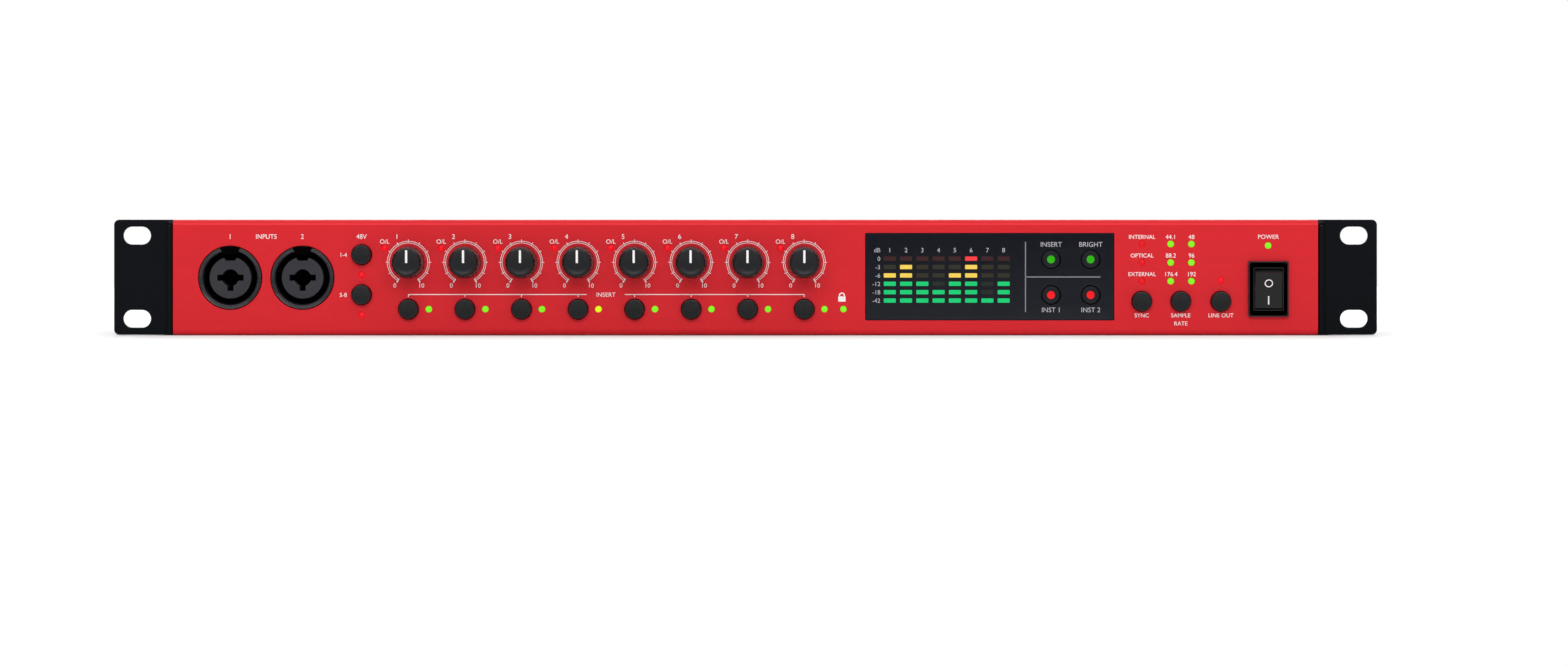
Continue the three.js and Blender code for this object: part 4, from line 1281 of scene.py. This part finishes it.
def ringed_number(legend, i, x, z):
    legend.text(str(i), x, z, 1.7)
    legend.arc(x, z, 1.6, 0, 360, 0.2, 32)


def print_rear():
    legend = Legend(REAR)
    for i, (x, _) in REAR_COMBOS.items():
        ringed_number(legend, i, x, 37.4)
    for i, (x, z) in JACKS.items():
        if i > 2:
            legend.text(f"INSERT {i}", x - 0.4, 23.1, 1.85)
            legend.strip([(x, 24.7), (x, 28.8), (x + 9.0, 28.8)], 0.25)
        else:
            ringed_number(legend, i, x + 7.2, z + 6.2)
    feet = (("TIP = SEND", 164.5), ("RING = RETURN", 183.8), ("INSERT 1/2", 203.6))
    for words, x in (*feet, ("WORD CLOCK", BNC_X - 0.8)):
        legend.text(words, x, FOOT_Z, 1.9)
    legend.text("MIC/LINE INPUTS", 69.0, 39.5, 1.9)
    legend.text("LINE OUTPUTS", MULTIWAY[0], 23.3, 1.9)
    legend.strip([(-77.2, 2.9), (-77.2, 40.4)], 0.3)
    legend.text("OUT", BNC_X + 9.7, 34.6, 1.7)
    legend.text("IN", BNC_X + 8.4, 19.3, 1.7)
    opt = (OPTICALS["a"] + OPTICALS["b"]) / 2
    for words, z in (("OUT", OPTICAL_Z["output"]), ("IN", OPTICAL_Z["input"]), ("OPTICAL", 3.8)):
        legend.text(words, opt, z, 1.7)
    rows = ((39.5, "", "48", "1-8"), (36.1, "5-8", "96", "1-4"), (32.9, "3-4", "192", "1-2"))
    for z, left, rate, right in rows:
        for words, dx in ((left, -9.4), (rate, -0.4), (right, 8.6)):
            if words:
                legend.text(words, opt + dx, z, 1.5)
        legend.strip([(opt + 2.2, z), (opt + 6.4, z)], 0.25)
        if left:
            legend.strip([(opt - 7.2, z), (opt - 2.6, z)], 0.25)
    legend.done("rear_printing", PRINT)


def make_label():
    """A blank paper label beside the inlet."""
    tile = box_wall(-221.6, -216.9, 11.1, 34.5, 0.4, (-0.12, 0.0), 0.03)
    label = panel("blank_label", REAR, tile, (), PAPER)


# Inside


def dress_inside():
    for node in ("front_board", "main_board", "power_supply"):
        recolour(node, BOARD)


# Studio

CAMERA_X = 14.7
CAMERA_DISTANCE = 2200.0
CAMERA_HEIGHT = 42.0
VIEW_WIDTH = 598.7
VIEW_MIDDLE_Z = 0.9
WORLD_FILL = 0.16
LIGHTS = {
    "overhead": ((0, 0.2, 2.6), (0, 0, 0), (5.0, 4.2), 78.0),
    "front_high": ((0, -2.8, 1.5), (0, -0.13, 0.02), (3.6, 0.9), 54.0),
    "back_high": ((0, 2.8, 1.5), (0, 0.13, 0.02), (3.6, 0.9), 60.0),
    "left": ((-2.6, -0.9, 0.8), (0, 0, 0.02), (0.7, 1.2), 3.0),
    "right": ((2.6, -0.9, 0.8), (0, 0, 0.02), (0.7, 1.2), 4.0),
}


def make_camera():
    camera = bpy.data.objects.new("camera", bpy.data.cameras.new("camera"))
    camera.data.sensor_width = 36.0
    camera.data.lens = 36.0 * CAMERA_DISTANCE / VIEW_WIDTH
    camera.data.shift_y = (VIEW_MIDDLE_Z - CAMERA_HEIGHT) / VIEW_WIDTH
    camera.data.clip_end = 50.0
    camera.location = Vector((CAMERA_X, FRONT.y - CAMERA_DISTANCE, CAMERA_HEIGHT)) * MM
    camera.rotation_euler = (math.pi / 2, 0, 0)
    bpy.context.scene.collection.objects.link(camera)
    bpy.context.scene.camera = camera


def area_light(name, spot, aim, size, watts):
    data = bpy.data.lights.new(name, "AREA")
    data.shape = "RECTANGLE"
    data.size, data.size_y = size
    data.energy = watts
    light = bpy.data.objects.new(name, data)
    light.location = spot
    light.rotation_euler = (Vector(aim) - Vector(spot)).to_track_quat("-Z", "Y").to_euler()
    bpy.context.scene.collection.objects.link(light)


def make_floor():
    bm = bmesh.new()
    bmesh.ops.create_circle(bm, cap_ends=True, segments=96, radius=1.6)
    mesh = bpy.data.meshes.new("studio_floor")
    bm.to_mesh(mesh)
    bm.free()
    floor = bpy.data.objects.new("studio_floor", mesh)
    floor.location.z = -0.0002
    mesh.materials.append(floor_material())
    bpy.context.scene.collection.objects.link(floor)


def make_world():
    """White where the camera looks past the floor, and a dim grey for everything else."""
    world = bpy.data.worlds.new("studio")
    world.use_nodes = True
    tree = world.node_tree
    dim = tree.nodes["Background"]
    dim.inputs["Color"].default_value = (1, 1, 1, 1)
    dim.inputs["Strength"].default_value = WORLD_FILL
    backdrop = tree.nodes.new("ShaderNodeBackground")
    backdrop.inputs["Color"].default_value = (1, 1, 1, 1)
    path = tree.nodes.new("ShaderNodeLightPath")
    mix = tree.nodes.new("ShaderNodeMixShader")
    tree.links.new(path.outputs["Is Camera Ray"], mix.inputs["Fac"])
    tree.links.new(dim.outputs[0], mix.inputs[1])
    tree.links.new(backdrop.outputs[0], mix.inputs[2])
    tree.links.new(mix.outputs[0], tree.nodes["World Output"].inputs["Surface"])
    bpy.context.scene.world = world


def make_studio():
    bpy.context.scene.view_settings.view_transform = "Standard"
    make_floor()
    make_world()
    for name, setting in LIGHTS.items():
        area_light(name, *setting)


# The whole unit


def build():
    make_camera()
    make_fascia()
    for node, way in (("rack_ear_left", -1), ("rack_ear_right", 1)):
        make_ear(node, way)
    make_cover()
    make_rear_panel()
    make_case_screws()
    for i in CHANNELS:
        make_knob(i)
    make_buttons()
    make_lamps()
    for i in (1, 2):
        make_combo(i, FRONT, 5.0)
    for i in range(3, 9):
        make_combo(i, REAR, 1.5)
    glass_face = make_meter()
    make_power_switch()
    print_front()
    print_window(glass_face)
    for i in sorted(JACKS):
        make_jack(i)
    make_inlet()
    for side, x in OPTICALS.items():
        make_optical(side, x)
    make_bnc()
    make_multiway()
    make_rear_screws()
    print_rear()
    make_label()
    dress_inside()
    make_studio()


build()
bpy.context.view_layer.update()
